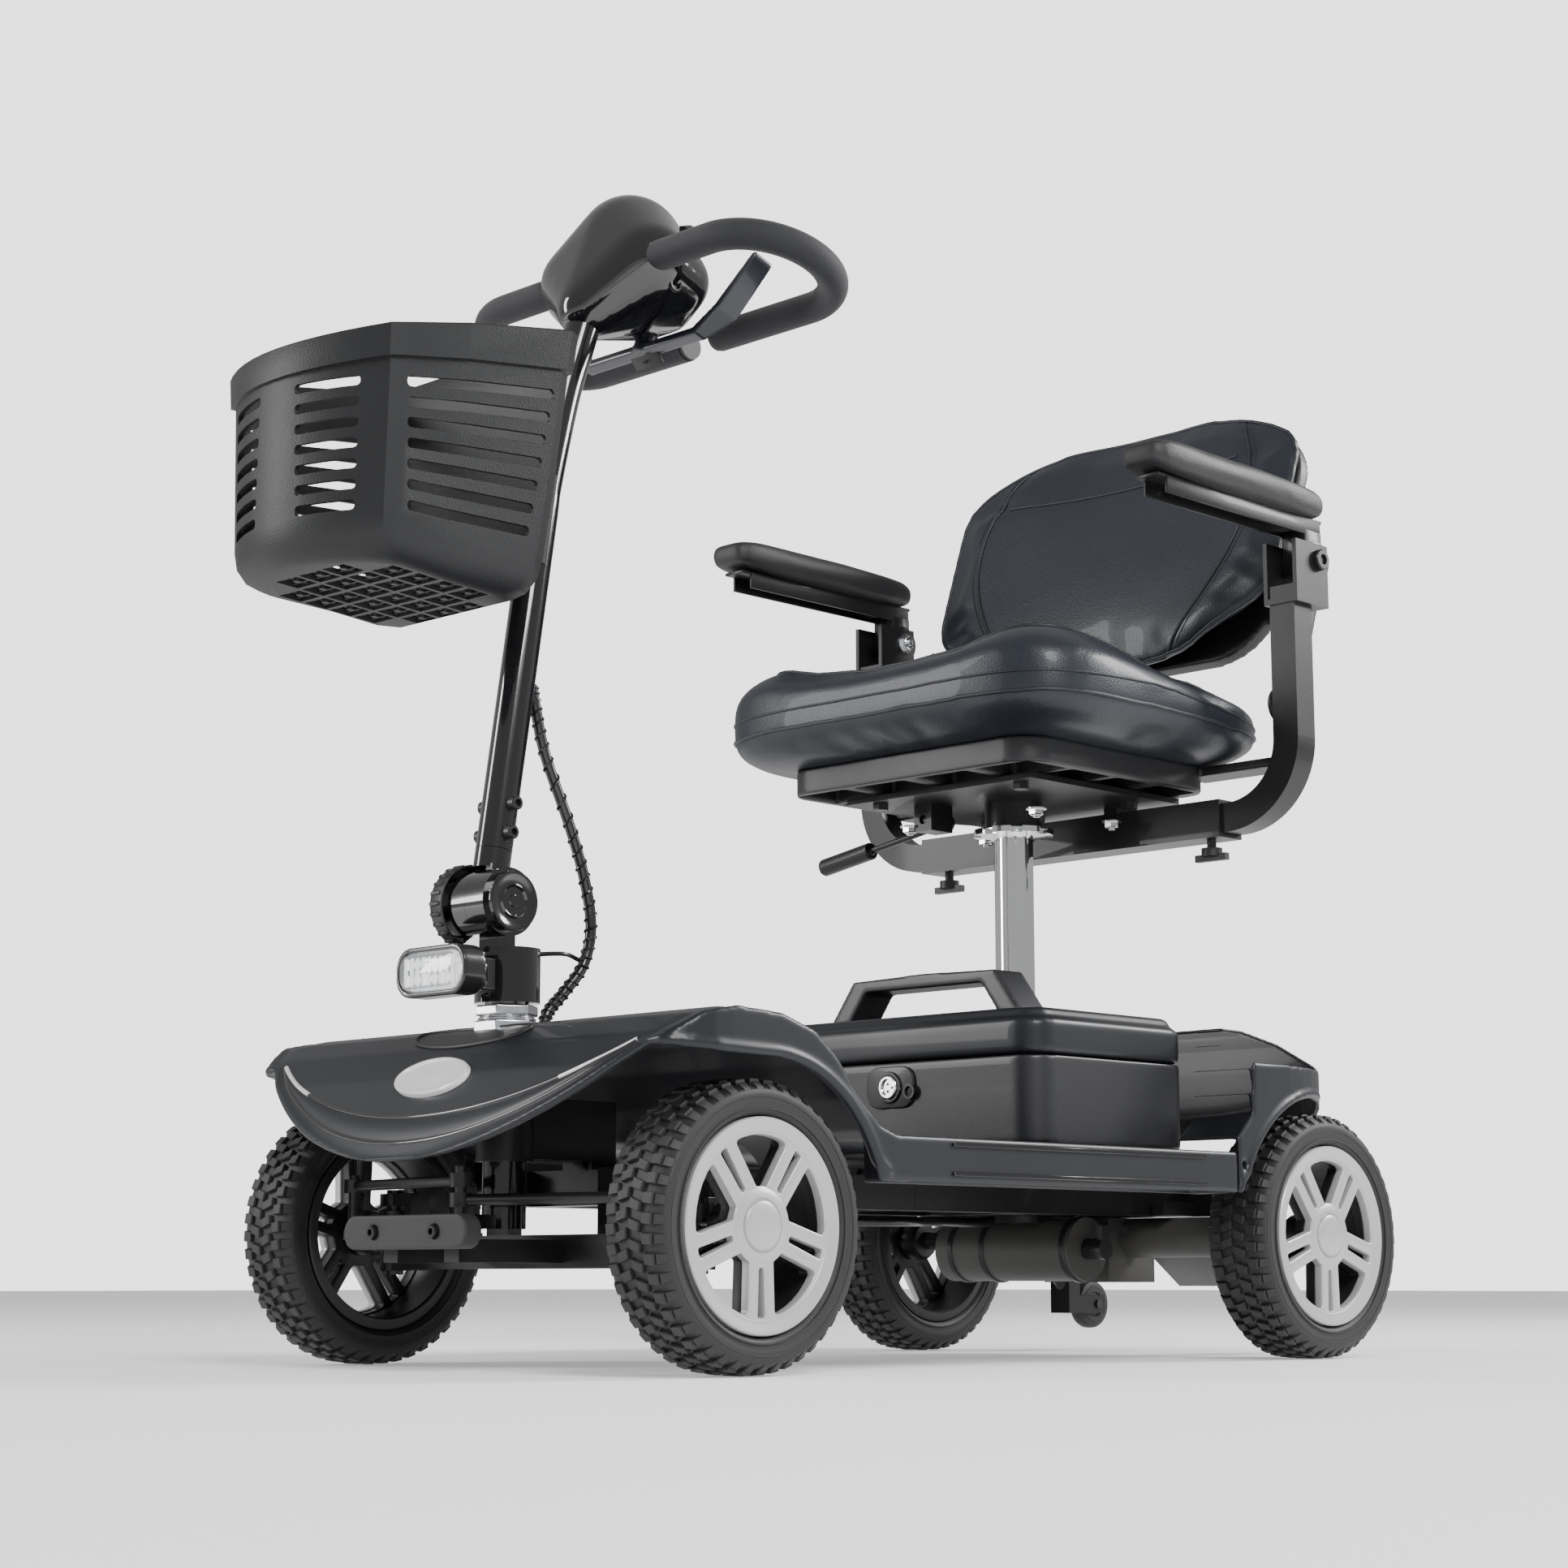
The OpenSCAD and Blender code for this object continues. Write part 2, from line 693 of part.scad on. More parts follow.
// Two-ended lever under the console: one side drives forwards, the other in reverse.
module throttle_lever() {
    color("#17181c") head_frame() translate([0, throttle_v, 112]) {
        cylinder(r = 8.5, h = 24);
        for (side = [-1, 1]) {
            translate([side > 0 ? 0 : -66, -6, 0]) cube([66, 12, 7]);
            hull() {
                translate([side * 63, 0, 3.5]) cube([5, 12, 7], center = true);
                translate([side * 84, 4, 20]) cube([5, 22, 4], center = true);
            }
            hull() {
                translate([side * 84, 4, 20]) cube([5, 22, 4], center = true);
                translate([side * 106, 8, 64]) cube([4, 20, 4], center = true);
            }
        }
    }
}

// ---- basket ----------------------------------------------------------------------------------

basket_front = -546;
basket_low = 552;
basket_high = 712;    // the rim's height at the front

// Plan of the basket: bowed front, wider back with cut corners.
function basket_plan(half_front, half_rear, front, rear) = concat(
    [for (i = [0:8]) let (a = i / 8) [half_front * (1 - 2 * a), front - 30 * (1 - pow(2 * a - 1, 2))]],
    [[-half_front - 3, front + 12], [-half_rear, rear - 12], [-half_rear + 10, rear],
     [half_rear - 10, rear], [half_rear, rear - 12], [half_front + 3, front + 12]]);

// One thin level of the basket, inset by t, tipped about its front edge.
module basket_level(z, t, tip) {
    k = (z - basket_low) / (basket_high - basket_low);
    translate([0, basket_front, z]) rotate([tip, 0, 0]) translate([0, -basket_front, 0]) linear_extrude(0.4)
        polygon(basket_plan(86 + 6 * k - t, 86 + 22 * k - t, basket_front + t, 14.4 * k - 399.5 - t));
}

floor_tip = -4.3;
rim_tip = 9.6;

module basket_shape(t, low, high) {
    hull() {
        basket_level(low, t + 14, floor_tip);
        basket_level(low + 20, t, floor_tip);
        basket_level(high, t, rim_tip);
    }
}

module basket() {
    color("#1f2022") difference() {
        union() {
            basket_shape(0, basket_low, basket_high);
            hull() {
                basket_level(basket_high - 22, -3, rim_tip);
                basket_level(basket_high, -3, rim_tip);
            }
        }
        basket_shape(3, basket_low + 3.5, basket_high + 3);
        // slots in the sides and the front, and the openings of the floor
        for (k = [0:6]) {
            translate([-200, -526, 582 + 15 * k]) cube([400, 106, 7]);
            for (x = [-46, 46]) translate([x - 22, -600, 582 + 15 * k]) cube([44, 100, 7]);
        }
        for (i = [-2:1], j = [0:3])
            translate([i * 32 + 3, -546 + j * 34, 520]) cube([26, 28, 40]);
    }
}

// ---- battery box -----------------------------------------------------------------------------

module box_plan(t) {
    difference() {
        translate([0, (box_front + box_rear) / 2])
            rounded_rect(2 * (box_half_w - t), box_rear - box_front - 2 * t, 24 - t);
        translate([-26 - t, 184 - t]) square([52 + 2 * t, 60]);
    }
}

module battery_case() {
    color("#1b1c20") difference() {
        translate([0, 0, box_z]) linear_extrude(case_h) box_plan(0);
        translate([0, 0, box_z + wall]) linear_extrude(case_h + 5) box_plan(wall);
        // charging socket in the front wall
        translate([inlet_x, box_front - 1, inlet_z]) rotate([-90, 0, 0]) cylinder(r = 12, h = 6);
    }
    color("#9a9c9e") translate([inlet_x, box_front, inlet_z]) rotate([-90, 0, 0]) {
        cylinder(r = 7, h = 6);
        translate([0, 0, 3.2]) cylinder(r = 14, h = 4);
    }
}

module battery_lid() {
    color("#26272b") difference() {
        union() {
            translate([0, 0, box_z + case_h + gap]) linear_extrude(lid_h - 9) box_plan(0);
            translate([0, 0, box_z + case_h + gap + lid_h - 9]) linear_extrude(9) box_plan(8);
        }
        translate([0, 0, box_z + case_h - 5]) linear_extrude(lid_h - 1) box_plan(wall + 8);
    }
}

module battery_handle() {
    top = box_z + case_h + lid_h + 2 * gap;
    color("#1a1a1c") translate([0, 112, top]) rotate([90, 0, 0]) linear_extrude(36, center = true)
        polygon([[-108, 0], [-84, 0], [-64, 28], [64, 28], [84, 0], [108, 0], [80, 38], [0, 40],
            [-80, 38]]);
}

// Two sealed batteries.
module battery_pack() {
    color("#3a3d44") for (side = [-1, 1])
        translate([side * 80 - 70, 46, box_z + 4]) cube([140, 120, 84]);
}

// ---- seat ------------------------------------------------------------------------------------

module seat_post() {
    color("#dfe1e3") translate([0, post_y, 150]) difference() {
        cylinder(r = post_d / 2, h = 312);
        translate([0, 0, -1]) cylinder(r = post_d / 2 - 2.5, h = 300);
    }
}

// Notched disc on the post that the swivel lock drops into.
module star_plate() {
    color("#d4d6d8") translate([0, post_y, 446]) difference() {
        cylinder(r = 35, h = 5);
        for (k = [0:7]) rotate(45 * k) translate([28, -5, -1]) cube([12, 10, 8]);
        translate([0, 0, -1]) cylinder(r = post_d / 2 + fit, h = 8);
    }
}

// Mounting plate with the swivel hub that sits over the post's end.
module seat_plate() {
    color("#161616") difference() {
        union() {
            translate([-105, post_y - 100, plate_z]) cube([210, 200, 5]);
            translate([0, post_y, 452]) cylinder(r = post_d / 2 + 8, h = 23);
            translate([-66, post_y - 56, 451]) cube([20, 28, 24]);
        }
        translate([0, post_y, 445]) cylinder(r = post_d / 2 + fit, h = 18);
        translate([-56, post_y - 60, 461]) rotate([-90, 0, 0]) cylinder(r = 4 + fit, h = 40);
    }
    color("#aeb4b8") for (x = [-80, 80], y = [-84, 60])
        translate([x, post_y + y, plate_z - 5.5]) cylinder(r = 7, h = 5.4, $fn = 6);
}

module seat_pan() {
    color("#141517") for (side = [-1, 1]) {
        // brackets that carry the backrest's hinge
        translate([side > 0 ? 118 : -218, back_pivot[0] - 18, 493]) cube([100, 36, 8]);
        translate([side > 0 ? 216 : -221, back_pivot[0] - 18, 497]) cube([5, 36, 69]);
        translate([side > 0 ? 206.5 : -218.5, back_pivot[0], back_pivot[1]]) rotate([0, 90, 0])
            cylinder(r = 5, h = 12);
    }
    color("#141517") difference() {
        translate([0, post_y - 20, pan_z]) pad_block([280, 250, 22], 30);
        for (x = [-132, -65, 5, 72], y = [-116, -58, 0, 58])
            if (!(x > -70 && x < 70 && y > -50 && y < 60))
                translate([x + 2, post_y - 20 + y, pan_z - 1]) cube([56, 50, 16]);
    }
}

// Cushion: a plain closed body of the upholstery's size, sloping down to the rear.
module seat_cushion() {
    color("#22262e") intersection() {
        translate([0, (seat_front + seat_rear) / 2, cushion_z]) pad_block([seat_w, seat_depth, 90], 60);
        across(seat_w + 2) polygon([[40, 503], [22, 518], [22, 560], [38, 577], [80, 583], [200, 574],
            [320, 553], [352, 546], [362, 537], [362, 512], [352, 503]]);
    }
}

// Square cross tube that both armrests slide into.
module armrest_receiver() {
    color("#131313") difference() {
        translate([-170, receiver_y - 16, receiver_z - 16]) cube([340, 32, 32]);
        translate([-171, receiver_y - 13, receiver_z - 13]) cube([342, 26, 26]);
        for (x = [-150, 150]) translate([x, receiver_y, receiver_z - 20]) cylinder(r = 4.2, h = 20);
    }
    color("#131313") for (x = [-60, 46]) translate([x, receiver_y - 16, receiver_z + 16])
        cube([14, 30, plate_z - receiver_z - 16.2]);
}

tube = 25;
elbow_r = 62;

module square_tube(len) {
    translate([-tube / 2, -tube / 2, 0]) cube([tube, tube, len]);
}

// Inner bar, bend and upright of one armrest. The bar lies in the cross tube.
module armrest_frame(side) {
    corner_z = receiver_z + elbow_r;
    color("#121212") mirror([side > 0 ? 0 : 1, 0, 0]) difference() {
        union() {
            translate([60, receiver_y, receiver_z]) rotate([0, 90, 0]) square_tube(arm_x - elbow_r - 60);
            translate([arm_x - elbow_r, receiver_y, corner_z]) rotate([90, 0, 0]) rotate(-90)
                rotate_extrude(angle = 90) translate([elbow_r, 0]) square(tube, center = true);
            translate([arm_x, receiver_y, corner_z]) square_tube(arm_pivot[1] - corner_z - 24);
            // fork for the armrest's pivot
            for (x = [-17, 13]) translate([arm_x + x, receiver_y - 14, arm_pivot[1] - 40]) cube([4, 46, 54]);
            translate([arm_x - 17, receiver_y - 14, arm_pivot[1] - 40]) cube([34, 46, 5]);
        }
        translate([arm_x - 30, arm_pivot[0], arm_pivot[1]]) rotate([0, 90, 0]) cylinder(r = 5 + fit, h = 60);
    }
}

// Rail, pivot block and pad of one armrest.
module armrest(side) {
    y = arm_pivot[0];
    z = arm_pivot[1];
    color("#1a1a1c") mirror([side > 0 ? 0 : 1, 0, 0]) {
        translate([arm_x - 12.5, y - 12, z - 12]) cube([25, 24, 34]);
        translate([arm_x - 12, y - 215, z + 21.5]) cube([24, 232, 16]);
        translate([arm_x - 20, y, z]) rotate([0, 90, 0]) cylinder(r = 5, h = 40);
        translate([arm_x, y - 106, z + 37]) pad_block([52, 244, 28], 24);
    }
}

module clamp_knob(side) {
    color("#161616") translate([side * 150, receiver_y, receiver_z - 16]) {
        translate([0, 0, -8]) cylinder(r = 4, h = 11);
        translate([0, 0, -14]) cylinder(r = 9, h = 7);
        translate([-16, -3, -18]) cube([32, 6, 6]);
    }
}

// Small solid roller behind the rear axle, on its own pin.
module anti_tip_wheel(side) {
    color("#141414") translate([side * anti_tip_x, anti_tip_y, anti_tip_z]) rotate([0, 90, 0]) {
        cylinder(r = anti_tip_r, h = 14, center = true);
        cylinder(r = 3.95, h = 26, center = true);
    }
}

// Children drawn about the backrest's hinge: z runs up the back, y runs rearwards.
module back_frame() {
    translate([0, back_pivot[0], back_pivot[1]]) rotate([-back_lean, 0, 0]) children();
}

module backrest_cushion() {
    color("#22262e") back_frame() translate([0, -12, back_mid]) rotate([90, 0, 0]) hull() {
        translate([0, 0, -24]) pad_block([330, 230, 1], 70);
        translate([0, 0, -8]) pad_block([408, 272, 12], 84);
        translate([0, 0, 14]) pad_block([350, 222, 1], 70);
    }
}

// Moulded rear panel of the backrest, with the two hinge arms.
module backrest_shell() {
    color("#17181a") back_frame() {
        translate([0, 13, back_mid]) rotate([-90, 0, 0]) pad_block([350, 240, 14], 60);
        for (side = [-1, 1]) translate([side * 212, 0, 0]) difference() {
            union() {
                translate([-3, 0, 0]) rotate([0, 90, 0]) cylinder(r = 16, h = 6);
                translate([-3, -8, 0]) cube([6, 32, 118]);
                translate([side > 0 ? -45 : -3, 14, 96]) cube([48, 10, 22]);
            }
            translate([-5, 0, 0]) rotate([0, 90, 0]) cylinder(r = 5 + fit, h = 10);
        }
    }
}

// Spring-loaded lever that lifts the swivel lock. Its pin lies fore and aft in a lug under the plate.
module release_lever() {
    root = [-56, post_y - 27.6, 461];
    color("#151515") {
        translate(root) rotate([90, 0, 0]) cylinder(r = 4, h = 26);
        translate(root) rotate([-90, 0, 0]) cylinder(r = 8, h = 6);
        rod(root + [0, 3, 0], [-204, root.y + 3, 436], 3);
        rod([-146, root.y + 3, 445.8], [-206, root.y + 3, 435.7], 8);
    }
}

// ---- the assembly ----------------------------------------------------------------------------

placed() front_frame();
placed() rear_frame();
placed() deck_shell();
placed() nose_trim();
placed() rear_shell();
placed() transaxle();
placed() front_bumper();
placed() steering_stem();
placed() head_nuts();
placed() headlight_housing();
placed() headlight_lens();
placed() cable_harness();
placed() tie_rod(1);  // tie_rod_left
placed() tie_rod(-1);  // tie_rod_right
placed() knuckle(1);  // knuckle_left
placed() knuckle(-1);  // knuckle_right
placed() at_wheel(1, front_track, front_y) tyre();  // tyre_front_left
placed() at_wheel(-1, front_track, front_y) tyre();  // tyre_front_right
placed() at_wheel(1, rear_track, rear_y) tyre();  // tyre_rear_left
placed() at_wheel(-1, rear_track, rear_y) tyre();  // tyre_rear_right
placed() at_wheel(1, front_track, front_y) front_rim();  // rim_front_left
placed() at_wheel(-1, front_track, front_y) front_rim();  // rim_front_right
placed() at_wheel(1, rear_track, rear_y) rear_rim();  // rim_rear_left
placed() at_wheel(-1, rear_track, rear_y) rear_rim();  // rim_rear_right
placed() tiller_sleeve();
placed() tiller_tube();
placed() tiller_bolts();
placed() basket_bracket();
placed() console_lower();
placed() console_upper();
placed() handlebar();
placed() handlebar_caps();
placed() fold_knob();
placed() throttle_lever();
placed() speed_dial();
placed() key();
placed() horn_button();
placed() basket();
placed() anti_tip_wheel(1);  // anti_tip_wheel_left
placed() anti_tip_wheel(-1);  // anti_tip_wheel_right
placed() battery_case();
placed() battery_lid();
placed() battery_handle();
placed() battery_pack();
placed() seat_post();
placed() star_plate();
placed() seat_plate();
placed() seat_pan();
placed() seat_cushion();
placed() armrest_receiver();
placed() backrest_cushion();
placed() backrest_shell();
placed() armrest_frame(1);  // armrest_frame_left
placed() armrest_frame(-1);  // armrest_frame_right
placed() armrest(1);  // armrest_left
placed() armrest(-1);  // armrest_right
placed() clamp_knob(1);  // clamp_knob_left
placed() clamp_knob(-1);  // clamp_knob_right
placed() release_lever();
placed() freewheel_lever();
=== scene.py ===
import json
from math import atan2, cos, degrees, exp, pi, radians, sin, sqrt, tan
import bpy
import bmesh
from mathutils import Matrix, Vector
from mathutils.bvhtree import BVHTree

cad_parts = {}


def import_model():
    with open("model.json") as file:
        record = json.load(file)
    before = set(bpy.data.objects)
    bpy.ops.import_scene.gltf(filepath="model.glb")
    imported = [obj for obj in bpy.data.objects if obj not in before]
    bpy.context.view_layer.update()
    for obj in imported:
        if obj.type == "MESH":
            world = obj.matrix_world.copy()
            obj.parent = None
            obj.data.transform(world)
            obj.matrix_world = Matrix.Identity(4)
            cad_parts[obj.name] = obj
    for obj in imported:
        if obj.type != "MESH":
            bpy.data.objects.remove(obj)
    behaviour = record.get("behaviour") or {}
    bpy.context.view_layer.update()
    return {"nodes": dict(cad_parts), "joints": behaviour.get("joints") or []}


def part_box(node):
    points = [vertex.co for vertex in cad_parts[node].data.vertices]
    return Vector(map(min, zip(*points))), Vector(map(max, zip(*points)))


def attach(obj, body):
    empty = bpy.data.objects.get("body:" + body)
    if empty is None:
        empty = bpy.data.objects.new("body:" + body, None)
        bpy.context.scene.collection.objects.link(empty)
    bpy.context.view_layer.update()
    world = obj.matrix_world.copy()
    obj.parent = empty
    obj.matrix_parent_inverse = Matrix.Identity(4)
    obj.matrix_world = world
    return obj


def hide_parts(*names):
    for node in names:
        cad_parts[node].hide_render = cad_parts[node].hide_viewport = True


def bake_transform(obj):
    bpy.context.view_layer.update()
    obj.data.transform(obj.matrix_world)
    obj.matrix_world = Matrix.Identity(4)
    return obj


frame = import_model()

MM = 0.001


# ---- places, read from the frame ----
def mid(node):
    lo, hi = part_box(node)
    return (lo + hi) / 2


MY = (mid("tyre_front_left").y + mid("tyre_rear_left").y) / 2
JOINT = {j["name"]: j for j in frame["joints"]}


def V(x, y, z):
    """Millimetres about the middle of the wheelbase, to metres in the frame."""
    return Vector((x * MM, y * MM + MY, z * MM))


def move(v):
    return Matrix.Translation(v)


def rot(angle, axis):
    return Matrix.Rotation(radians(angle), 4, axis)


def at(x, y, z, rx=0, ry=0, rz=0):
    """A place in the frame, in mm, turned by degrees about x, then y, then z."""
    return move(V(x, y, z)) @ rot(rz, "Z") @ rot(ry, "Y") @ rot(rx, "X")


def local(x=0, y=0, z=0, rx=0, ry=0, rz=0):
    """The same within another place."""
    return move(Vector((x, y, z)) * MM) @ rot(rz, "Z") @ rot(ry, "Y") @ rot(rx, "X")


def point(m, x, y, z):
    """A point given in mm in m's frame."""
    return m @ (Vector((x, y, z)) * MM)


def turn(n):
    """n equal steps of a full turn."""
    return [2 * pi * k / n for k in range(n)]


SIDES = (("left", 1), ("right", -1))
WHEEL_Y, WHEEL_R = 324, 100  # half the wheelbase, and a tyre's radius
LEAN, HEAD_LEAN, BACK_LEAN = 8.7, 18.0, 19.0
BEND = 0.366  # the column's bend, from its hinge
HINGE = Vector(JOINT["tiller_angle"]["pos_m"])
COL = move(HINGE) @ rot(-LEAN, "X")
HEAD = COL @ move((0, 0, BEND)) @ rot(LEAN - HEAD_LEAN, "X")
BACK_PIVOT = Vector(JOINT["backrest_fold"]["pos_m"])
BACK = move((0, BACK_PIVOT.y, BACK_PIVOT.z)) @ rot(-BACK_LEAN, "X")


# ---- materials ----
def material(name, color, rough=0.4, metal=0.0, coat=0.0, grain=0.0, grain_scale=900.0, mottle=0.12,
             mottle_scale=7.0, rough_var=0.08, wrinkle=0.0, wrinkle_scale=60.0, transmission=0.0,
             specular=0.5, emission=0.0, sheen=0.0):
    """Mottled colour and roughness, with a wrinkle and a grain as bumps."""
    m = bpy.data.materials.new(name)
    m.use_nodes = True
    node, link = m.node_tree.nodes.new, m.node_tree.links.new
    b = m.node_tree.nodes["Principled BSDF"]
    co = node("ShaderNodeTexCoord")
    no = node("ShaderNodeTexNoise")
    no.inputs["Scale"].default_value = mottle_scale
    no.inputs["Detail"].default_value = 5
    link(co.outputs["Object"], no.inputs["Vector"])
    ramp = node("ShaderNodeMix")
    ramp.data_type = "RGBA"
    ramp.inputs[6].default_value = [c * (1 - mottle) for c in color] + [1]
    ramp.inputs[7].default_value = [min(1, c * (1 + mottle)) for c in color] + [1]
    link(no.outputs["Fac"], ramp.inputs[0])
    link(ramp.outputs[2], b.inputs["Base Color"])
    rr = node("ShaderNodeMapRange")
    rr.inputs["To Min"].default_value = max(0.02, rough - rough_var)
    rr.inputs["To Max"].default_value = min(1, rough + rough_var)
    link(no.outputs["Fac"], rr.inputs["Value"])
    link(rr.outputs["Result"], b.inputs["Roughness"])
    for socket, value in (("Metallic", metal), ("Coat Weight", coat), ("Coat Roughness", 0.04),
                          ("Transmission Weight", transmission), ("Specular IOR Level", specular),
                          ("Sheen Weight", sheen)):
        b.inputs[socket].default_value = value
    if emission:
        b.inputs["Emission Color"].default_value = (1, 1, 1, 1)
        b.inputs["Emission Strength"].default_value = emission
    last = None
    for amount, scale, kind, out, depth in ((wrinkle, wrinkle_scale, "Noise", "Fac", 0.002),
                                            (grain, grain_scale, "Voronoi", "Distance", 0.0006)):
        if amount <= 0:
            continue
        t = node("ShaderNodeTex" + kind)
        t.inputs["Scale"].default_value = scale
        if kind == "Noise":
            t.inputs["Detail"].default_value = 3
        link(co.outputs["Object"], t.inputs["Vector"])
        bump = node("ShaderNodeBump")
        bump.inputs["Strength"].default_value = amount
        bump.inputs["Distance"].default_value = depth
        link(t.outputs[out], bump.inputs["Height"])
        if last:
            link(last.outputs["Normal"], bump.inputs["Normal"])
        last = bump
    if last:
        link(last.outputs["Normal"], b.inputs["Normal"])
    return m


def look(r, g, b, rough, **more):
    return dict(color=(r, g, b), rough=rough, **more)


MAT = {name: material(name, **kind) for name, kind in {
    "frame_black": look(0.009, 0.009, 0.01, 0.36, coat=0.12, specular=0.3, grain=0.1, grain_scale=1500),
    "cover_satin": look(0.011, 0.012, 0.015, 0.4, coat=0.1, grain=0.04, grain_scale=1600, specular=0.35),
    "trim_gloss": look(0.006, 0.006, 0.007, 0.12, coat=0.8, rough_var=0.03),
    "gear_grey": look(0.07, 0.068, 0.064, 0.5, grain=0.2, grain_scale=500),
    "bumper_rubber": look(0.02, 0.02, 0.021, 0.6, grain=0.15, grain_scale=900),
    "nut_zinc": look(0.72, 0.73, 0.75, 0.2, metal=1, mottle=0.2, mottle_scale=120),
    "lamp_black": look(0.01, 0.01, 0.011, 0.25, coat=0.5),
    "lamp_clear": look(0.95, 0.97, 0.98, 0.04, transmission=0.85, coat=0.4, mottle=0.02, rough_var=0.02),
    "wiring": look(0.008, 0.008, 0.009, 0.3, coat=0.3),
    "rod_steel": look(0.035, 0.035, 0.036, 0.36, metal=0.6),
    "tyre_black": look(0.013, 0.013, 0.0135, 0.55, grain=0.2, grain_scale=1200, mottle=0.3,
                       mottle_scale=40),
    "wheel_silver": look(0.5, 0.5, 0.495, 0.38, metal=0.35, grain=0.05, grain_scale=2500, coat=0.15,
                         mottle=0.04),
    "column_gloss": look(0.006, 0.006, 0.007, 0.13, coat=0.9, rough_var=0.03),
    "console_gloss": look(0.005, 0.005, 0.006, 0.1, coat=1.0, rough_var=0.02),
    "grip_foam": look(0.014, 0.0145, 0.017, 0.66, specular=0.35, grain=0.35, grain_scale=1400, sheen=0.15),
    "knob_plastic": look(0.012, 0.012, 0.013, 0.45, grain=0.1),
    "lever_plastic": look(0.014, 0.015, 0.022, 0.3, coat=0.3),
    "dial_plastic": look(0.03, 0.03, 0.032, 0.5, grain=0.12),
    "key_brass": look(0.62, 0.5, 0.24, 0.28, metal=1),
    "horn_yellow": look(0.6, 0.44, 0.03, 0.35, coat=0.3),
    "basket_plastic": look(0.012, 0.0125, 0.0135, 0.48, grain=0.22, grain_scale=800, specular=0.35),
    "box_dark": look(0.012, 0.0125, 0.015, 0.4, grain=0.12, grain_scale=1500, coat=0.1),
    "pack_grey": look(0.05, 0.055, 0.065, 0.5),
    "post_chrome": look(0.86, 0.87, 0.88, 0.07, metal=1, rough_var=0.02, mottle=0.03),
    "pan_plastic": look(0.014, 0.0145, 0.016, 0.42, grain=0.12, grain_scale=900),
    "upholstery": look(0.014, 0.0165, 0.024, 0.38, specular=0.4, grain=0.22, grain_scale=700, wrinkle=0.1,
                       wrinkle_scale=35, coat=0.08, mottle=0.18, mottle_scale=12),
    "pad_rubber": look(0.014, 0.014, 0.0155, 0.5, grain=0.3, grain_scale=1100),
    "lever_dark": look(0.02, 0.02, 0.022, 0.35, coat=0.3),
}.items()}
BADGE = material("badge_pale", (0.78, 0.78, 0.79), 0.25, metal=0.2, coat=0.7, mottle=0.03)
LED = material("led_white", (0.95, 0.96, 1.0), 0.25, emission=0.7, mottle=0.02)
INNER_BLACK = material("wheel_inner", (0.01, 0.01, 0.011), 0.42, grain=0.1)
WELT = material("welt", (0.012, 0.014, 0.019), 0.45, grain=0.2, grain_scale=1500)


# ---- mesh helpers ----
AXIS = 0.01  # mm; the hole left where a turned piece meets its axis


def new_object(name, data):
    o = bpy.data.objects.new(name, data)
    bpy.context.scene.collection.objects.link(o)
    return o


def to_mesh(name, bm):
    me = bpy.data.meshes.new(name)
    bm.to_mesh(me)
    bm.free()
    return me


def paint(o, mat):
    o.data.materials.clear()
    o.data.materials.append(MAT[mat] if isinstance(mat, str) else mat)


def shade(o, angle):
    o.data.shade_smooth()
    o.data.set_sharp_from_angle(angle=radians(angle))


def round_edges(o, width, angle, segments=2):
    b = o.modifiers.new("edges", "BEVEL")
    b.width, b.segments, b.limit_method, b.angle_limit = width, segments, "ANGLE", radians(angle)


def voxels(o, size):
    r = o.modifiers.new("remesh", "REMESH")
    r.mode, r.voxel_size = "VOXEL", size


def even_out(o, times):
    s = o.modifiers.new("smooth", "SMOOTH")
    s.factor, s.iterations = 0.5, times


def obj(name, bm, body, mat, reps=(), angle=40, bevel=0.0):
    """A rigid piece from bm: it rides body, and stands for the CAD nodes in reps."""
    bmesh.ops.remove_doubles(bm, verts=bm.verts, dist=1e-6)
    bmesh.ops.recalc_face_normals(bm, faces=bm.faces)
    o = new_object(name, to_mesh(name, bm))
    paint(o, mat)
    if bevel:
        round_edges(o, bevel, 35)
    shade(o, angle)
    if body:
        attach(o, body)
    for n in reps:
        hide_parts(n)
    return o


def bridge(bm, loops, ends=False):
    """Faces from each closed loop of vertices to the next; ends closes the first and last loop."""
    n = len(loops[0])
    for a, b in zip(loops, loops[1:]):
        for k in range(n):
            bm.faces.new((a[k], a[(k + 1) % n], b[(k + 1) % n], b[k]))
    if ends:
        bm.faces.new(loops[0][::-1])
        bm.faces.new(loops[-1])


def skin(bm, lines, ends=True):
    """Surface through closed lines of points, closed at both ends unless told not to."""
    bridge(bm, [[bm.verts.new(p) for p in line] for line in lines], ends)


def sweep(bm, pts, radius, sides=12, closed=False):
    """Round tube through pts."""
    pts = [Vector(p) for p in pts]
    n = len(pts)
    rings, u = [], None
    for i, p in enumerate(pts):
        a = pts[(i - 1) % n] if closed or i else p
        b = pts[(i + 1) % n] if closed or i < n - 1 else p
        d = (b - a).normalized()
        if u is None:
            u = d.orthogonal().normalized()
        u = (u - d * u.dot(d)).normalized()
        v = d.cross(u)
        rings.append([bm.verts.new(p + (u * cos(t) + v * sin(t)) * radius) for t in turn(sides)])
    if closed:
        bridge(bm, rings + rings[:1])
    else:
        bridge(bm, rings, ends=True)


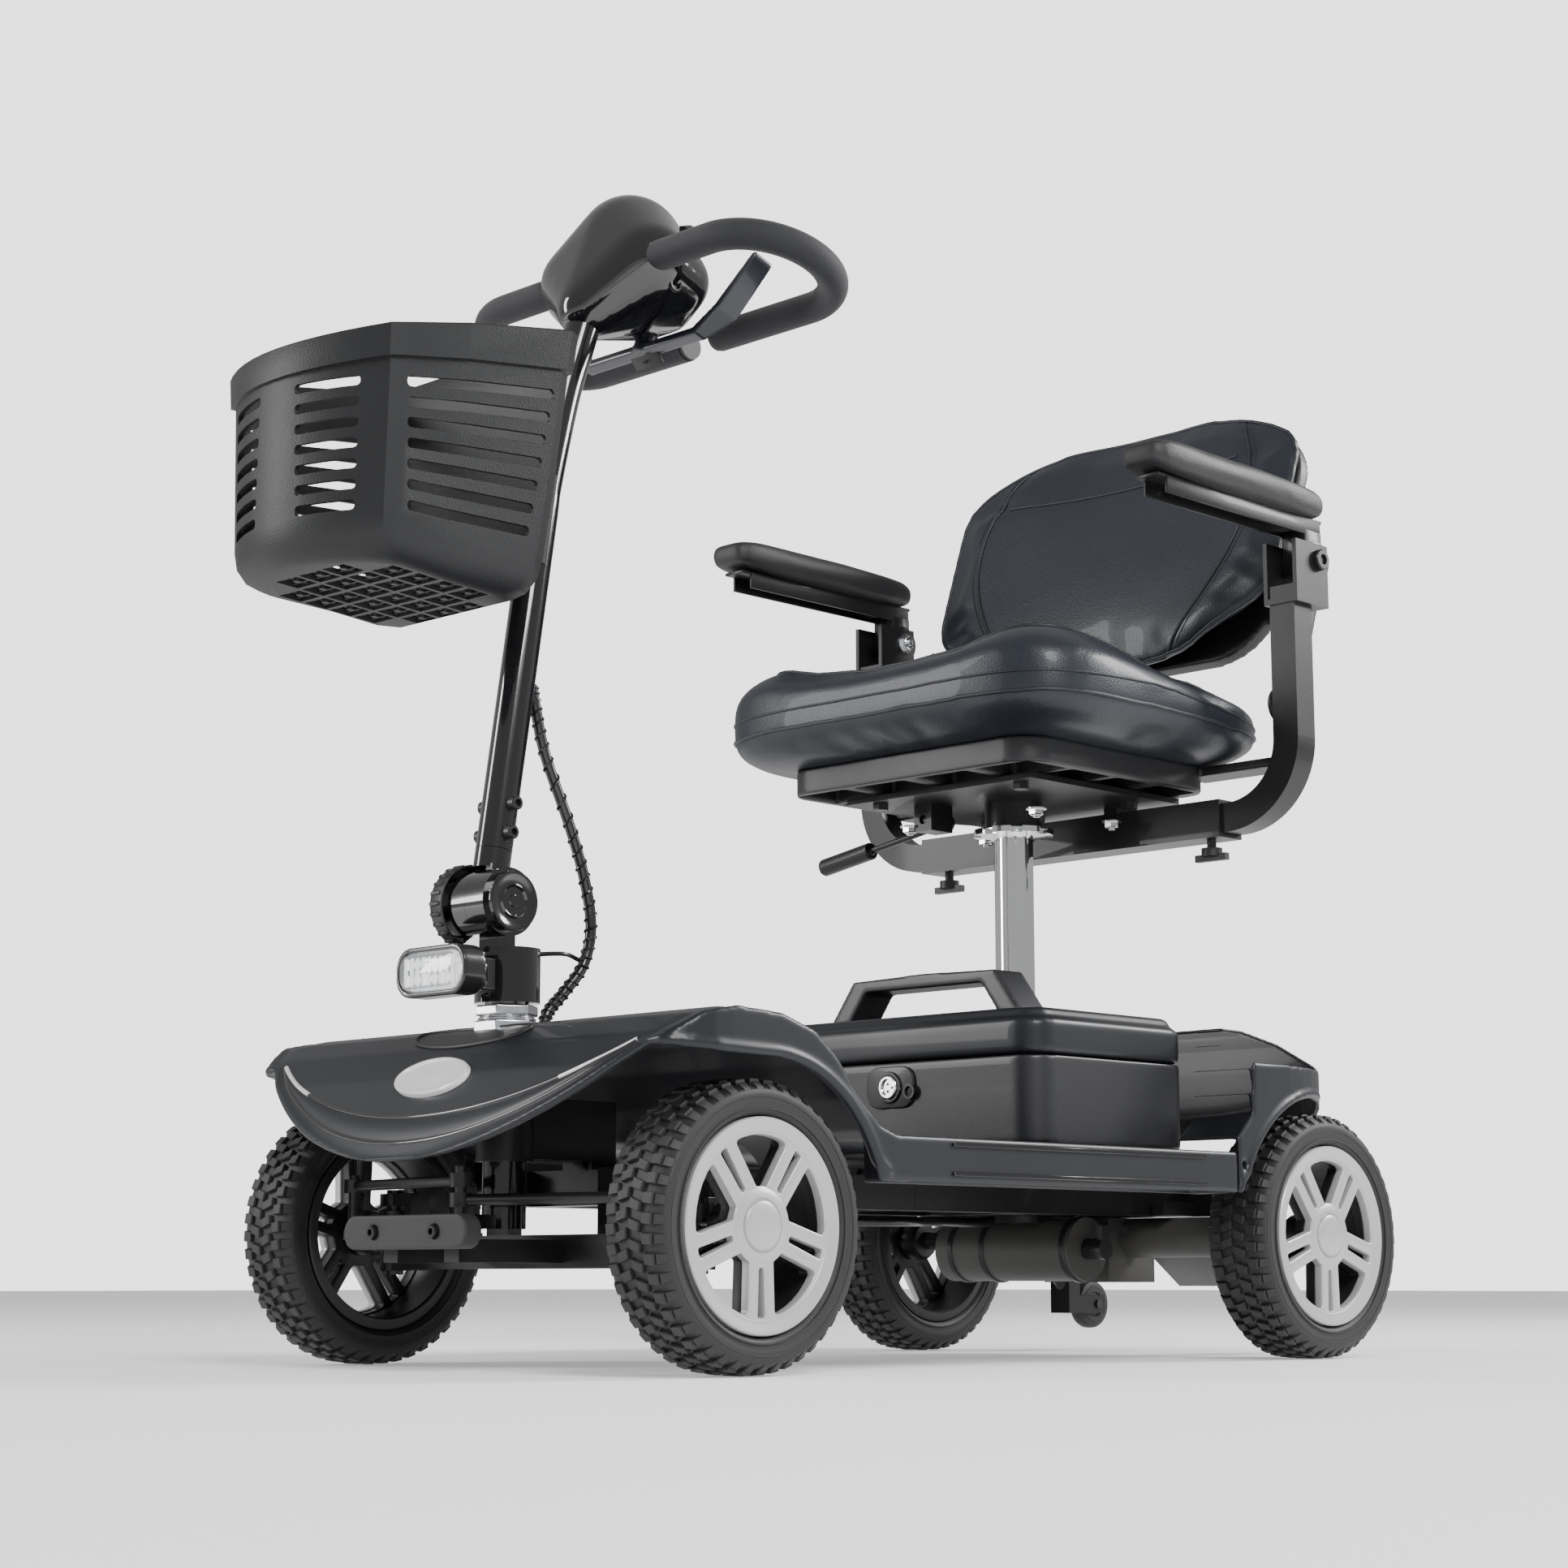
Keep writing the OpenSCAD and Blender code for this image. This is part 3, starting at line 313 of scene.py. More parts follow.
def spline(pts, steps=8, closed=False):
    """Points of a smooth curve through pts."""
    pts = [Vector(p) for p in pts]
    n = len(pts)
    out = []
    for i in range(n if closed else n - 1):
        p0 = pts[(i - 1) % n] if closed or i else pts[0]
        p1, p2 = pts[i], pts[(i + 1) % n]
        p3 = pts[(i + 2) % n] if closed or i < n - 2 else pts[-1]
        for s in range(steps):
            t = s / steps
            out.append(0.5 * ((2 * p1) + (p2 - p0) * t + (2 * p0 - 5 * p1 + 4 * p2 - p3) * t * t
                              + (3 * p1 - p0 - 3 * p2 + p3) * t ** 3))
    if not closed:
        out.append(pts[-1])
    return out


def revolve(bm, profile, m, n=64, closed=None):
    """Turns (radius, height) points in mm about m's z axis. A profile that reaches the axis stays open."""
    if closed is None:
        closed = all(r for r, z in profile)
    rings = [[bm.verts.new(point(m, max(r, AXIS) * cos(t), max(r, AXIS) * sin(t), z)) for r, z in profile]
             for t in turn(n)]
    last = len(profile) if closed else len(profile) - 1
    for k in range(n):
        a, b = rings[k], rings[(k + 1) % n]
        for i in range(last):
            j = (i + 1) % len(profile)
            bm.faces.new((a[i], b[i], b[j], a[j]))


def pin(bm, r, low, high, m, n):
    """Solid cylinder of radius r from low to high."""
    revolve(bm, [(0, low), (r, low), (r, high), (0, high)], m, n)


def block(bm, size, m, chamfer=1.0, seg=2):
    """Box of size mm centred on m, with rounded edges."""
    made = bmesh.ops.create_cube(bm, size=1.0)["verts"]
    bmesh.ops.scale(bm, vec=Vector(size) * MM, verts=made)
    if chamfer:
        edges = list({e for v in made for e in v.link_edges})
        out = bmesh.ops.bevel(bm, geom=edges, offset=chamfer * MM, segments=seg, affect="EDGES", profile=0.5)
        made = list({v for f in out["faces"] for v in f.verts} | {v for v in made if v.is_valid})
    bmesh.ops.transform(bm, matrix=m, verts=made)


def hexbolt(bm, m, r=6.5, h=4.5):
    """Hexagon head on a washer. m's z points out of the surface."""
    pin(bm, r * 1.35, 0, 1.2, m, 24)
    revolve(bm, [(r, 1.2), (r, 1.2 + h - 0.8), (r - 1, 1.2 + h), (0, 1.2 + h)], m, 6)
    revolve(bm, [(3.2, 1 + h), (3.2, 2.6 + h), (2.6, 3 + h), (0, 3 + h)], m, 16)


def socket_screw(bm, m, r=5, h=6):
    revolve(bm, [(0, 0), (r, 0), (r, h - 0.8), (r - 0.8, h), (r * 0.52, h), (r * 0.52, h - 3), (0, h - 3)],
            m, 20)


def fillet(points, radii, steps=5):
    """Outline with rounded corners. points are (x, y); radii one number or one per corner."""
    out, n = [], len(points)
    for i in range(n):
        p, a, b = (Vector(points[j % n]) for j in (i, i - 1, i + 1))
        r = radii[i] if isinstance(radii, list) else radii
        if r <= 0:
            out.append(p)
            continue
        u, w = (a - p), (b - p)
        half = u.angle(w) / 2
        d = min(r / tan(half), u.length * 0.49, w.length * 0.49)
        p1, p2 = p + u.normalized() * d, p + w.normalized() * d
        for s in range(steps + 1):
            t = s / steps
            out.append(p1 * (1 - t) ** 2 + p * 2 * t * (1 - t) + p2 * t * t)
    return out


def oblong(x, y, r, steps):
    """Rounded rectangle with half sizes x and y."""
    return fillet([(-x, -y), (x, -y), (x, y), (-x, y)], r, steps)


def plate(name, outer, holes, thick, m, body, mat, bevel=0.8, reps=()):
    """Flat plate with holes and rounded edges; outlines in mm in m's xy plane, centred on it."""
    cu = bpy.data.curves.new(name, "CURVE")
    cu.dimensions, cu.fill_mode = "2D", "BOTH"
    cu.extrude, cu.bevel_depth, cu.bevel_resolution = (thick / 2 - bevel) * MM, bevel * MM, 2
    cu.offset = -bevel * MM
    for line in [outer] + list(holes):
        sp = cu.splines.new("POLY")
        sp.points.add(len(line) - 1)
        for q, p in zip(sp.points, line):
            q.co = (p[0] * MM, p[1] * MM, 0, 1)
        sp.use_cyclic_u = True
    tmp = new_object(name, cu)
    me = bpy.data.meshes.new_from_object(evaluated(tmp))
    bpy.data.objects.remove(tmp)
    me.transform(m)
    bm = bmesh.new()
    bm.from_mesh(me)
    return obj(name, bm, body, mat, reps, angle=30)


def circle(r, n):
    return [Vector((r * cos(t), r * sin(t))) for t in turn(n)]


def evaluated(o):
    bpy.context.view_layer.update()
    return o.evaluated_get(bpy.context.evaluated_depsgraph_get())


def applied(o):
    """Applies every modifier of o to its mesh."""
    me = bpy.data.meshes.new_from_object(evaluated(o))
    o.modifiers.clear()
    old = o.data
    o.data = me
    bpy.data.meshes.remove(old)
    return o


def cut(o, knife, kind="DIFFERENCE"):
    """Cuts o with knife, which is then deleted."""
    b = o.modifiers.new("cut", "BOOLEAN")
    b.operation, b.object, b.solver = kind, knife, "EXACT"
    applied(o)
    bpy.data.objects.remove(knife)


def moulded(node, name, body, mat, voxel, smooth, keep, extra=None, bend=None):
    """A rounded moulding of a CAD node's own shape: every sharp edge gets a soft radius."""
    bm = bmesh.new()
    bm.from_mesh(frame["nodes"][node].data)
    bmesh.ops.remove_doubles(bm, verts=bm.verts, dist=1e-6)
    if extra:
        extra(bm)
    o = new_object(name, to_mesh(name, bm))
    voxels(o, voxel)
    if bend:
        applied(o)
        for v in o.data.vertices:
            v.co = bend(v.co)
    even_out(o, smooth)
    o.modifiers.new("thin", "DECIMATE").ratio = keep
    applied(o)
    paint(o, mat)
    o.data.shade_smooth()
    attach(o, body)
    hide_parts(node)
    return o


def surface(o):
    """Tree of o's mesh for laying seams on it."""
    e = evaluated(o)
    me = e.to_mesh()
    tree = BVHTree.FromPolygons([e.matrix_world @ v.co for v in me.vertices], [p.vertices for p in me.polygons])
    e.to_mesh_clear()
    return tree


def laid(tree, start, direction, lift):
    """Point where a ray from start meets the surface, lifted off it; None past its edge."""
    hit, normal, _, _ = tree.ray_cast(start, direction)
    if hit is None:
        return None
    if normal.dot(direction) > 0:
        normal = -normal
    return hit + normal * lift


def nearest(tree, p, lift):
    """The surface's nearest point to p, lifted off it."""
    hit, normal, _, _ = tree.find_nearest(p)
    return hit + (p - hit).normalized() * lift if (p - hit).length > 1e-6 else hit + normal * lift


CLOTH_FRAMES = 20


def soften(o, cap, voxel):
    """Inflates a pad as cloth with a little pressure and keeps each point within cap of where it was."""
    voxels(o, voxel)
    even_out(o, 4)
    applied(o)
    before = [v.co.copy() for v in o.data.vertices]
    c = o.modifiers.new("cloth", "CLOTH")
    k = c.settings
    k.quality, k.mass = 5, 0.3
    k.tension_stiffness = k.compression_stiffness = 40
    k.bending_stiffness = 1.5
    k.use_pressure, k.uniform_pressure_force = True, 4.0
    k.effector_weights.gravity = 0
    c.collision_settings.use_self_collision = False
    c.point_cache.frame_start, c.point_cache.frame_end = 1, CLOTH_FRAMES
    for f in range(1, CLOTH_FRAMES + 1):
        bpy.context.scene.frame_set(f)
    e = o.evaluated_get(bpy.context.evaluated_depsgraph_get())
    after = [v.co.copy() for v in e.data.vertices]
    o.modifiers.clear()
    for v, a, b in zip(o.data.vertices, before, after):
        d = b - a
        v.co = a + d * min(1.0, cap / max(d.length, 1e-9))
    bpy.context.scene.frame_set(1)
    even_out(o, 3)
    t = o.modifiers.new("sub", "SUBSURF")
    t.levels = t.render_levels = 1
    applied(o)
    o.data.shade_smooth()
    return o


def super_form(name, half, plan, side, n, shape, axes=(0, 1, 2)):
    """Closed pad: a rounded block with half sizes in metres. plan rounds its outline in the first two
    axes, side rounds its edge, and shape moves each point."""
    bm = bmesh.new()
    bmesh.ops.create_cube(bm, size=2.0)
    bmesh.ops.subdivide_edges(bm, edges=bm.edges[:], cuts=n, use_grid_fill=True)
    for v in bm.verts:
        a, b, c = (abs(v.co[i]) for i in axes)
        p = v.co / ((a ** plan + b ** plan) ** (side / plan) + c ** side) ** (1 / side)
        v.co = shape(Vector((p.x * half[0], p.y * half[1], p.z * half[2])))
    return new_object(name, to_mesh(name, bm))


def super_loop(n, plan):
    """n points round the outline that plan gives, for half sizes of 1."""
    out = []
    for t in turn(n):
        c, s = cos(t), sin(t)
        r = (abs(c) ** plan + abs(s) ** plan) ** (-1 / plan)
        out.append((c * r, s * r))
    return out


def pad_piece(o, body, mat, node):
    paint(o, mat)
    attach(o, body)
    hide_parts(node)


# ---- wheels ----
def wheel_frame(node, side):
    return move(mid(node)) @ rot(90 * side, "Y")


def tread_block(bm, m, corners, low, high):
    """One lug. corners are (angle, width) pairs; high is its height at a width; it narrows outwards."""
    cx = sum(c[0] for c in corners) / len(corners)
    cy = sum(c[1] for c in corners) / len(corners)
    rings = []
    for drop, k in ((None, 1.0), (0.7, 0.96), (0.0, 0.86)):
        ring = []
        for a, w in corners:
            a, w = cx + (a - cx) * k, cy + (w - cy) * k
            r = low if drop is None else high(w) - drop
            ring.append(bm.verts.new(point(m, r * cos(a), r * sin(a), w)))
        rings.append(ring)
    bridge(bm, rings)
    bm.faces.new(rings[-1])


TYRE_HALF = [(74.2, 25), (76, 27.5), (79, 28.6), (81, 28.2), (83, 28.9), (88, 29), (91, 28.6), (92.2, 27.6),
             (93.4, 25.5), (95.2, 21), (96.3, 14), (96.8, 6)]  # from the bead to the crown
LUGS = 46
# each row of lugs: offset on the left and on the right, corners in steps and mm, foot and height
ROWS = (
    # centre rows: slanted blocks that nearly meet across the middle
    (0.5, 0, [(-0.36, 1.1), (0.20, 1.1), (0.40, 10.5), (-0.10, 11.5)], 95.8, lambda w: 99.8),
    # shoulder lugs that wrap round on to the sidewall
    (0.2, 0.7, [(-0.30, 13.2), (0.28, 12.2), (0.36, 21.5), (-0.26, 22)], 94.3, lambda w: 99.0),
    (0.2, 0.7, [(-0.24, 22.6), (0.34, 22.2), (0.34, 28.2), (-0.20, 28.4)], 90.5,
     lambda w: 97.6 - max(0, abs(w) - 22) * 0.85),
)


def tyre(name, node, body, side):
    m = wheel_frame(node, side)
    bm = bmesh.new()
    revolve(bm, TYRE_HALF + [(r, -w) for r, w in TYRE_HALF[::-1]], m, 128)
    step = 2 * pi / LUGS
    for i in range(LUGS):
        for s in (-1, 1):
            for on_left, on_right, corners, foot, high in ROWS:
                o = (i + (on_left if s > 0 else on_right)) * step
                tread_block(bm, m, [(o + a * step, s * w) for a, w in corners], foot, high)
    # fine rings moulded in the sidewall
    for s in (-1, 1):
        for r in (78.5, 86.5):
            sweep(bm, [point(m, r * cos(t), r * sin(t), s * 28.75) for t in turn(96)], 0.0006, 6, closed=True)
    obj(name, bm, body, "tyre_black", reps=[node], angle=35)


SPOKES, SPOKE_REACH = 5, 61.0


def windows(inset):
    """Outlines of the five wide windows and the five slots between twin spokes, made inset mm smaller."""
    out = []
    reach, half_step = SPOKE_REACH - inset, pi / SPOKES

    def axes(angle):
        return Vector((cos(angle), sin(angle))), Vector((-sin(angle), cos(angle)))

    for a in turn(SPOKES):
        u, w = axes(a)
        foot, low, high = 28 + inset, 2.1 - inset * .6, 3.4 - inset * .6
        out.append(fillet([u * foot - w * low, u * foot + w * low, u * reach + w * high, u * reach - w * high], 1.9, 4))

        def edge(dist, side):
            """Point of the window's edge, a line beside the neighbouring spoke, dist from the middle."""
            ax, nx = axes(a + half_step - side * half_step)
            off = 11.6 + 0.035 * (dist - 25) + inset
            return ax * sqrt(max(dist * dist - off * off, 0)) + nx * off * side
        foot = 26.5 + inset
        one, two = edge(reach, 1), edge(reach, -1)
        a1, a2 = atan2(one.y, one.x), atan2(two.y, two.x)
        while a2 < a1:
            a2 += 2 * pi
        arc = [axes(a1 + (a2 - a1) * t / 6)[0] * reach for t in range(7)]
        out.append(fillet([edge(foot, 1), *arc, edge(foot, -1)], [2.6, 3.6] + [0] * 5 + [3.6, 2.6], 4))
    return out


def rim(name, node, body, side):
    m = wheel_frame(node.replace("rim", "tyre"), side)
    plate(name + "_spokes", circle(64.5, 96), windows(0), 8, m @ local(z=22.0), body, "wheel_silver", bevel=1.3,
          reps=[node])
    # trim lip round the spokes, hub ring and domed blank cap
    bm = bmesh.new()
    revolve(bm, [(62.0, 18), (62.0, 25.2), (63.4, 26.4), (65.5, 26.6), (70.5, 28.4), (72.4, 28.6), (73.2, 27.6),
                 (73.2, 18)], m, 96)
    revolve(bm, [(26.5, 20), (26.5, 25.2), (25.2, 26.2), (18.6, 26.6), (18.2, 25.4), (18.2, 20)], m, 64)
    obj(name + "_lip", bm, body, "wheel_silver", angle=35)
    bm = bmesh.new()
    dome = [(16.9 * cos(t), 27.4 + 2.2 * sin(t)) for t in (pi / 16 * k for k in range(8))]
    revolve(bm, [(17.4, 20), (17.4, 26.4), *dome, (0, 29.6)], m, 48)
    obj(name + "_cap", bm, body, "wheel_silver", angle=50)
    # black moulding behind the face: back spokes, barrel, hub
    plate(name + "_back", circle(64, 96), windows(-1.2), 9, m @ local(z=13.0), body, INNER_BLACK)
    bm = bmesh.new()
    revolve(bm, [(62.5, 17.8), (73.6, 17.8), (73.6, -26), (72, -27), (66, -27), (64.5, -25), (63.5, 8), (62.5, 16)],
            m, 96)
    revolve(bm, [(17, 17), (17.5, -8), (15, -12), (8.1, -12), (8.1, 17)], m, 40)
    obj(name + "_barrel", bm, body, INNER_BLACK, angle=35)
    if node.startswith("rim_rear"):
        bm = bmesh.new()
        revolve(bm, [(0, -110), (7.5, -110), (8, -109), (8, 17), (0, 17)], m, 32)
        obj(name + "_shaft", bm, body, "rod_steel")


for end in ("front", "rear"):
    for word, side in SIDES:
        tyre(f"tread_{end}_{word}", f"tyre_{end}_{word}", f"{end}_{word}_wheel", side)
        rim(f"wheel_{end}_{word}", f"rim_{end}_{word}", f"{end}_{word}_wheel", side)
for word, side in SIDES:
    node = f"anti_tip_wheel_{word}"
    m = wheel_frame(node, 1)
    bm = bmesh.new()
    revolve(bm, [(3.9, -6.8), (18, -7), (20.5, -6), (21.8, -3.5), (22, 0), (21.8, 3.5), (20.5, 6), (18, 7),
                 (3.9, 6.8)], m, 48)
    for s in (-1, 1):
        revolve(bm, [(10, 6.2 * s), (11, 7.6 * s), (16, 7.6 * s), (17, 6.2 * s)], m, 40)
    pin(bm, 3.9, -13, 13, m, 20)
    obj(f"roller_{word}", bm, f"anti_tip_{word}", "tyre_black", reps=[node])

# ---- body covers ----
HALF = 239.0  # half the covers' width
HOOD = [(-461, 147), (-446, 172), (-423, 207), (-404, 228), (-384, 241), (-355, 247), (-312, 244), (-280, 234),
        (-258, 217), (-238, 192), (-214, 171), (-196, 165)]  # the hood's outline in the middle plane
NOSE_Y, NOSE_RUN, NOSE_POWER = -360, 101, 2.5  # where the plan starts to round, how far
TAIL_Y, TAIL_RUN, TAIL_POWER = 250, 182, 2.6
CUT_R, CUT_Z, NOSE_LOW = 330, 476, 219.5  # the arc cut in the nose's lower edge
ARCH_R = 117


def plan_x(y, end):
    """Half width of the cover at y."""
    u = max(0, NOSE_Y - y) / NOSE_RUN if end == "front" else max(0, y - TAIL_Y) / TAIL_RUN
    k = NOSE_POWER if end == "front" else TAIL_POWER
    return HALF * max(0.0, 1 - min(u, 1) ** k) ** (1 / k)


def nose_cut(x):
    return CUT_Z - sqrt(max(0, CUT_R ** 2 - x * x))


def lip_point(x):
    """The nose's lower edge at x."""
    z = min(NOSE_LOW, nose_cut(x)) + 2
    y = HOOD[0][0]
    for (a, b), (c, d) in zip(HOOD, HOOD[1:]):
        if b <= z <= d and y == HOOD[0][0]:
            y = a + (c - a) * (z - b) / (d - b)
    rim_y = NOSE_Y - NOSE_RUN * max(0, 1 - (abs(x) / HALF) ** NOSE_POWER) ** (1 / NOSE_POWER)
    return V(x, max(y, rim_y) + 2.2, z)


def arch(side, angles):
    """Outline of a wheel arch in the side view; side is -1 at the front."""
    return [(side * (WHEEL_Y - ARCH_R * cos(radians(t))), WHEEL_R + ARCH_R * sin(radians(t))) for t in angles]


def arch_lips(end):
    """Raised band along the lower edge of each mudguard, added before the cover is rounded."""
    def add(bm):
        if end == "front":
            for side in (-1, 1):
                sweep(bm, [lip_point(side * x) for x in range(0, 226, 5)], 0.0036)
            path = [(-406, 220.5), (-390, 219.5), (-372, 218.2), (-346, 217.4), *arch(-1, range(90, 26, -4)),
                    (-216, 146), (-206, 138)]
        else:
            path = [(208, 134), (211, 142), *arch(1, range(24, 104, 4))]
        for side in (-1, 1):
            for inset, up, r in ((2.2, 0, 0.0043), (6, 1, 0.0034)):
                sweep(bm, [V(side * (plan_x(y, end) - inset), y, z + up) for y, z in path], r)
    return add


def roll_over(co):
    """Rounds the hood's outer edge down, more the nearer a point is to it."""
    x, y, z = abs(co.x) / MM, (co.y - MY) / MM, co.z / MM
    if y > -205 or z < 150:
        return co
    u = max(0, NOSE_Y - y) / NOSE_RUN
    r = ((x / HALF) ** NOSE_POWER + u ** NOSE_POWER) ** (1 / NOSE_POWER)
    t = min(1.0, max(0.0, (r - 0.9) / 0.1))
    top = 165.0
    for (a, b), (c, d) in zip(HOOD, HOOD[1:]):
        if a <= y <= c:
            top = b + (d - b) * (y - a) / (c - a)
    edge = max(132.0, nose_cut(x))
    g = min(1.0, max(0.0, (z - edge) / max(6.0, top - edge)))
    fade = min(1.0, (-205 - y) / 40)
    return Vector((co.x, co.y, co.z - 0.010 * (1 - sqrt(1 - t * t)) * g * fade))


hood = moulded("deck_shell", "front_cover", "chassis", "cover_satin", 0.0017, 12, 0.3, arch_lips("front"), roll_over)
moulded("rear_shell", "rear_cover", "chassis", "cover_satin", 0.0017, 9, 0.3, arch_lips("rear"))
for node, name, body, mat, voxel, smooth, keep in (
        ("battery_case", "battery_tray", "battery_box", "box_dark", 0.002, 8, 0.3),
        ("battery_lid", "battery_cover", "battery_box", "cover_satin", 0.0022, 26, 0.4),
        ("battery_handle", "carry_handle", "battery_box", "box_dark", 0.0016, 14, 0.6),
        ("seat_pan", "seat_base", "seat", "pan_plastic", 0.0016, 5, 0.4),
        ("throttle_lever", "throttle_paddles", "throttle", "lever_plastic", 0.001, 14, 0.8),
        ("backrest_shell", "back_panel", "backrest", "pan_plastic", 0.002, 6, 0.4),
        ("front_bumper", "bumper", "chassis", "bumper_rubber", 0.0012, 5, 0.7),
        ("release_lever", "swivel_lever", "release_lever", "frame_black", 0.001, 4, 0.8)):
    moulded(node, name, body, mat, voxel, smooth, keep)

# crescent band on the nose between two grooves
tree = surface(hood)
INTO = Vector((0, 1, 0))
DOWN = Vector((0, 0, -1))
rows = []
for i in range(57):
    t = i / 56 * 2 - 1
    x = 197 * t
    wide = 17.5 * (1 - abs(t) ** 2.2) + 1.2
    base = min(NOSE_LOW, nose_cut(x)) + 22 - 11 * t * t
    row = [laid(tree, V(x, -600, base + wide * (k / 4 - 0.5)), INTO, 0.0009 if 0 < k < 4 else -0.0006)
           for k in range(5)]
    if all(p is not None and p.y < V(0, -380, 0).y for p in row):
        rows.append(row)
bm = bmesh.new()
grid = [[bm.verts.new(p) for p in row] for row in rows]
for a, b in zip(grid, grid[1:]):
    for k in range(4):
        bm.faces.new((a[k], a[k + 1], b[k + 1], b[k]))
obj("nose_band", bm, "chassis", "cover_satin", reps=["nose_trim"], angle=60)
bm = bmesh.new()
for k in (0, 4):
    sweep(bm, [row[k] for row in rows], 0.0017, 8)
obj("nose_grooves", bm, "chassis", "trim_gloss", angle=60)
bm = bmesh.new()
for end in (rows[:9], rows[-9:]):
    sweep(bm, [row[4] for row in end], 0.0021, 8)
obj("nose_tips", bm, "chassis", BADGE, angle=60)
# the blank oval badge
bm = bmesh.new()
badge = move(laid(tree, V(0, -600, 205), INTO, 0)) @ rot(53, "X")
skin(bm, [[point(badge, 40 * grow * cos(t), 17 * grow * sin(t), h) for t in turn(56)] for grow, h in (
    (1, -1.5), (1, 2.2), (0.97, 3.2), (0.9, 3.4), (0.86, 2.4), (0.84, 2.3), (0.5, 2.9), (0.01, 3.1))], ends=False)
obj("badge_blank", bm, "chassis", BADGE, angle=50)
# painted shade of the recess round the head tube: a black raised oval collar, and a black sheet laid just over the hood
# inside it
bm = bmesh.new()
pts = [laid(tree, V(62 * cos(t), -388 + 16 * sin(t), 400), DOWN, 0.0006) for t in turn(48)]
pts = [p for p in pts if p is not None]
sweep(bm, pts, 0.0016, 8, closed=True)
# black sheet over the hood inside the collar: painted shade standing for the recess's darkness
centre = bm.verts.new(sum(pts, Vector()) / len(pts) + Vector((0, 0, 0.0012)))
edge = [bm.verts.new(p + Vector((0, 0, 0.0002))) for p in pts]
for i in range(len(edge)):
    bm.faces.new((edge[i], edge[(i + 1) % len(edge)], centre))
obj("neck_recess_shade", bm, "chassis", INNER_BLACK, angle=60)
# rubber mat lines on the deck
bm = bmesh.new()
for i in range(-6, 7):
    block(bm, (4, 186, 1.2), at(i * 24, -90, 165.5), 0.4, 1)
obj("deck_ribs", bm, "chassis", "bumper_rubber")
# seams along the sills
bm = bmesh.new()
for s in (-1, 1):
    for z in (139, 160):
        block(bm, (1.6, 300, 3), at(s * 240.2, 10, z), 0.4, 1)
obj("sill_lines", bm, "chassis", "trim_gloss")

# charging port: oblong plate, chrome socket and a pull tab
front_y = (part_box("battery_case")[0].y - MY) / MM
PORT = at(22, front_y - 1, 218, rx=90)
plate("port_plate", oblong(26, 17, 15, 6), [], 3, PORT, "battery_box", "box_dark", bevel=1.2)
bm = bmesh.new()
revolve(bm, [(8.2, -1), (9.5, -1), (9.5, 4), (8.6, 5), (7, 5), (6.6, 3), (0, 3)], PORT, 32)
for t in turn(3):
    pin(bm, 1.1, 3, 4.6, PORT @ local(3.4 * cos(t), 3.4 * sin(t)), 10)
obj("port_socket", bm, "battery_box", "nut_zinc")
bm = bmesh.new()
revolve(bm, [(9.6, 0), (13, 0), (13, 2.6), (12.2, 3.4), (10.4, 3.4), (9.6, 2.6)], PORT, 40)
revolve(bm, [(4.2, 0), (6.2, 0), (6.2, 3), (4.2, 3)], at(44, front_y - 1.4, 214, rx=90), 24)
obj("port_collar", bm, "battery_box", "trim_gloss")

# ---- under the deck ----
bm = bmesh.new()
block(bm, (92, 66, 5), at(96, 356, 76, rx=-28, rz=8), 1)
block(bm, (24, 66, 16), at(132, 352, 84, rx=-28), 1)
obj("guard_plate", bm, "chassis", "gear_grey")
bm = bmesh.new()
for x in (-96, -60, 30):
    revolve(bm, [(27.2, 0), (28.4, 1), (28.4, 5), (27.2, 6)], at(x, 258, 90, ry=90), 40)
for k in range(4):
    a = radians(45 + 90 * k)
    hexbolt(bm, at(-36.2, WHEEL_Y + 22 * cos(a), 90 + 20 * sin(a), ry=-90), 4, 3)
obj("motor_bands", bm, "chassis", "rod_steel")
bm = bmesh.new()
route = [V(-30, 262, 120), V(-38, 215, 113), V(-34, 150, 113), V(10, 60, 111), V(16, -60, 112), V(10, -240, 128),
         V(6, -300, 160), V(2, -318, 226)]
sweep(bm, spline(route, 10), 0.0042, 10)
obj("loom", bm, "chassis", "wiring")
bm = bmesh.new()
for x in (-34, 34):
    socket_screw(bm, at(x, -447.5, 97, rx=90), 4.6, 3.6)
obj("bumper_screws", bm, "chassis", "frame_black")

# ---- steering joint and column ----
bm = bmesh.new()
m = move(HINGE) @ local(-14.4, ry=-90)
revolve(bm, [(29.2, 0.4), (30, 1.2), (30, 13), (29, 14.6), (22, 15), (20, 19), (17, 20), (0, 19.4)], m)
for t in turn(24):
    block(bm, (11.5, 3.2, 3), m @ local(z=0.2, rz=degrees(t)) @ local(29.6, 0, 8, ry=90), 0.8, 1)
obj("knob_wheel", bm, "fold_knob", "knob_plastic", reps=["fold_knob"])
bm = bmesh.new()
m = move(HINGE) @ local(ry=90)
revolve(bm, [(12, 31), (17, 31.2), (19, 32), (21.6, 32), (22, 31), (22, 26)], m, 48, closed=False)
revolve(bm, [(0, 31.6), (4, 31.6), (4.6, 30.8), (10, 30.9), (11.6, 32.4), (13, 31)], m, 48)
obj("hinge_cap", bm, "tiller", "column_gloss")
bm = bmesh.new()
for z in (53, 75):
    for s in (-1, 1):
        socket_screw(bm, COL @ local(s * 13.4, 0, z, ry=90 * s), 5.2, 7.2)
obj("column_screws", bm, "tiller", "frame_black", reps=["tiller_bolts"])
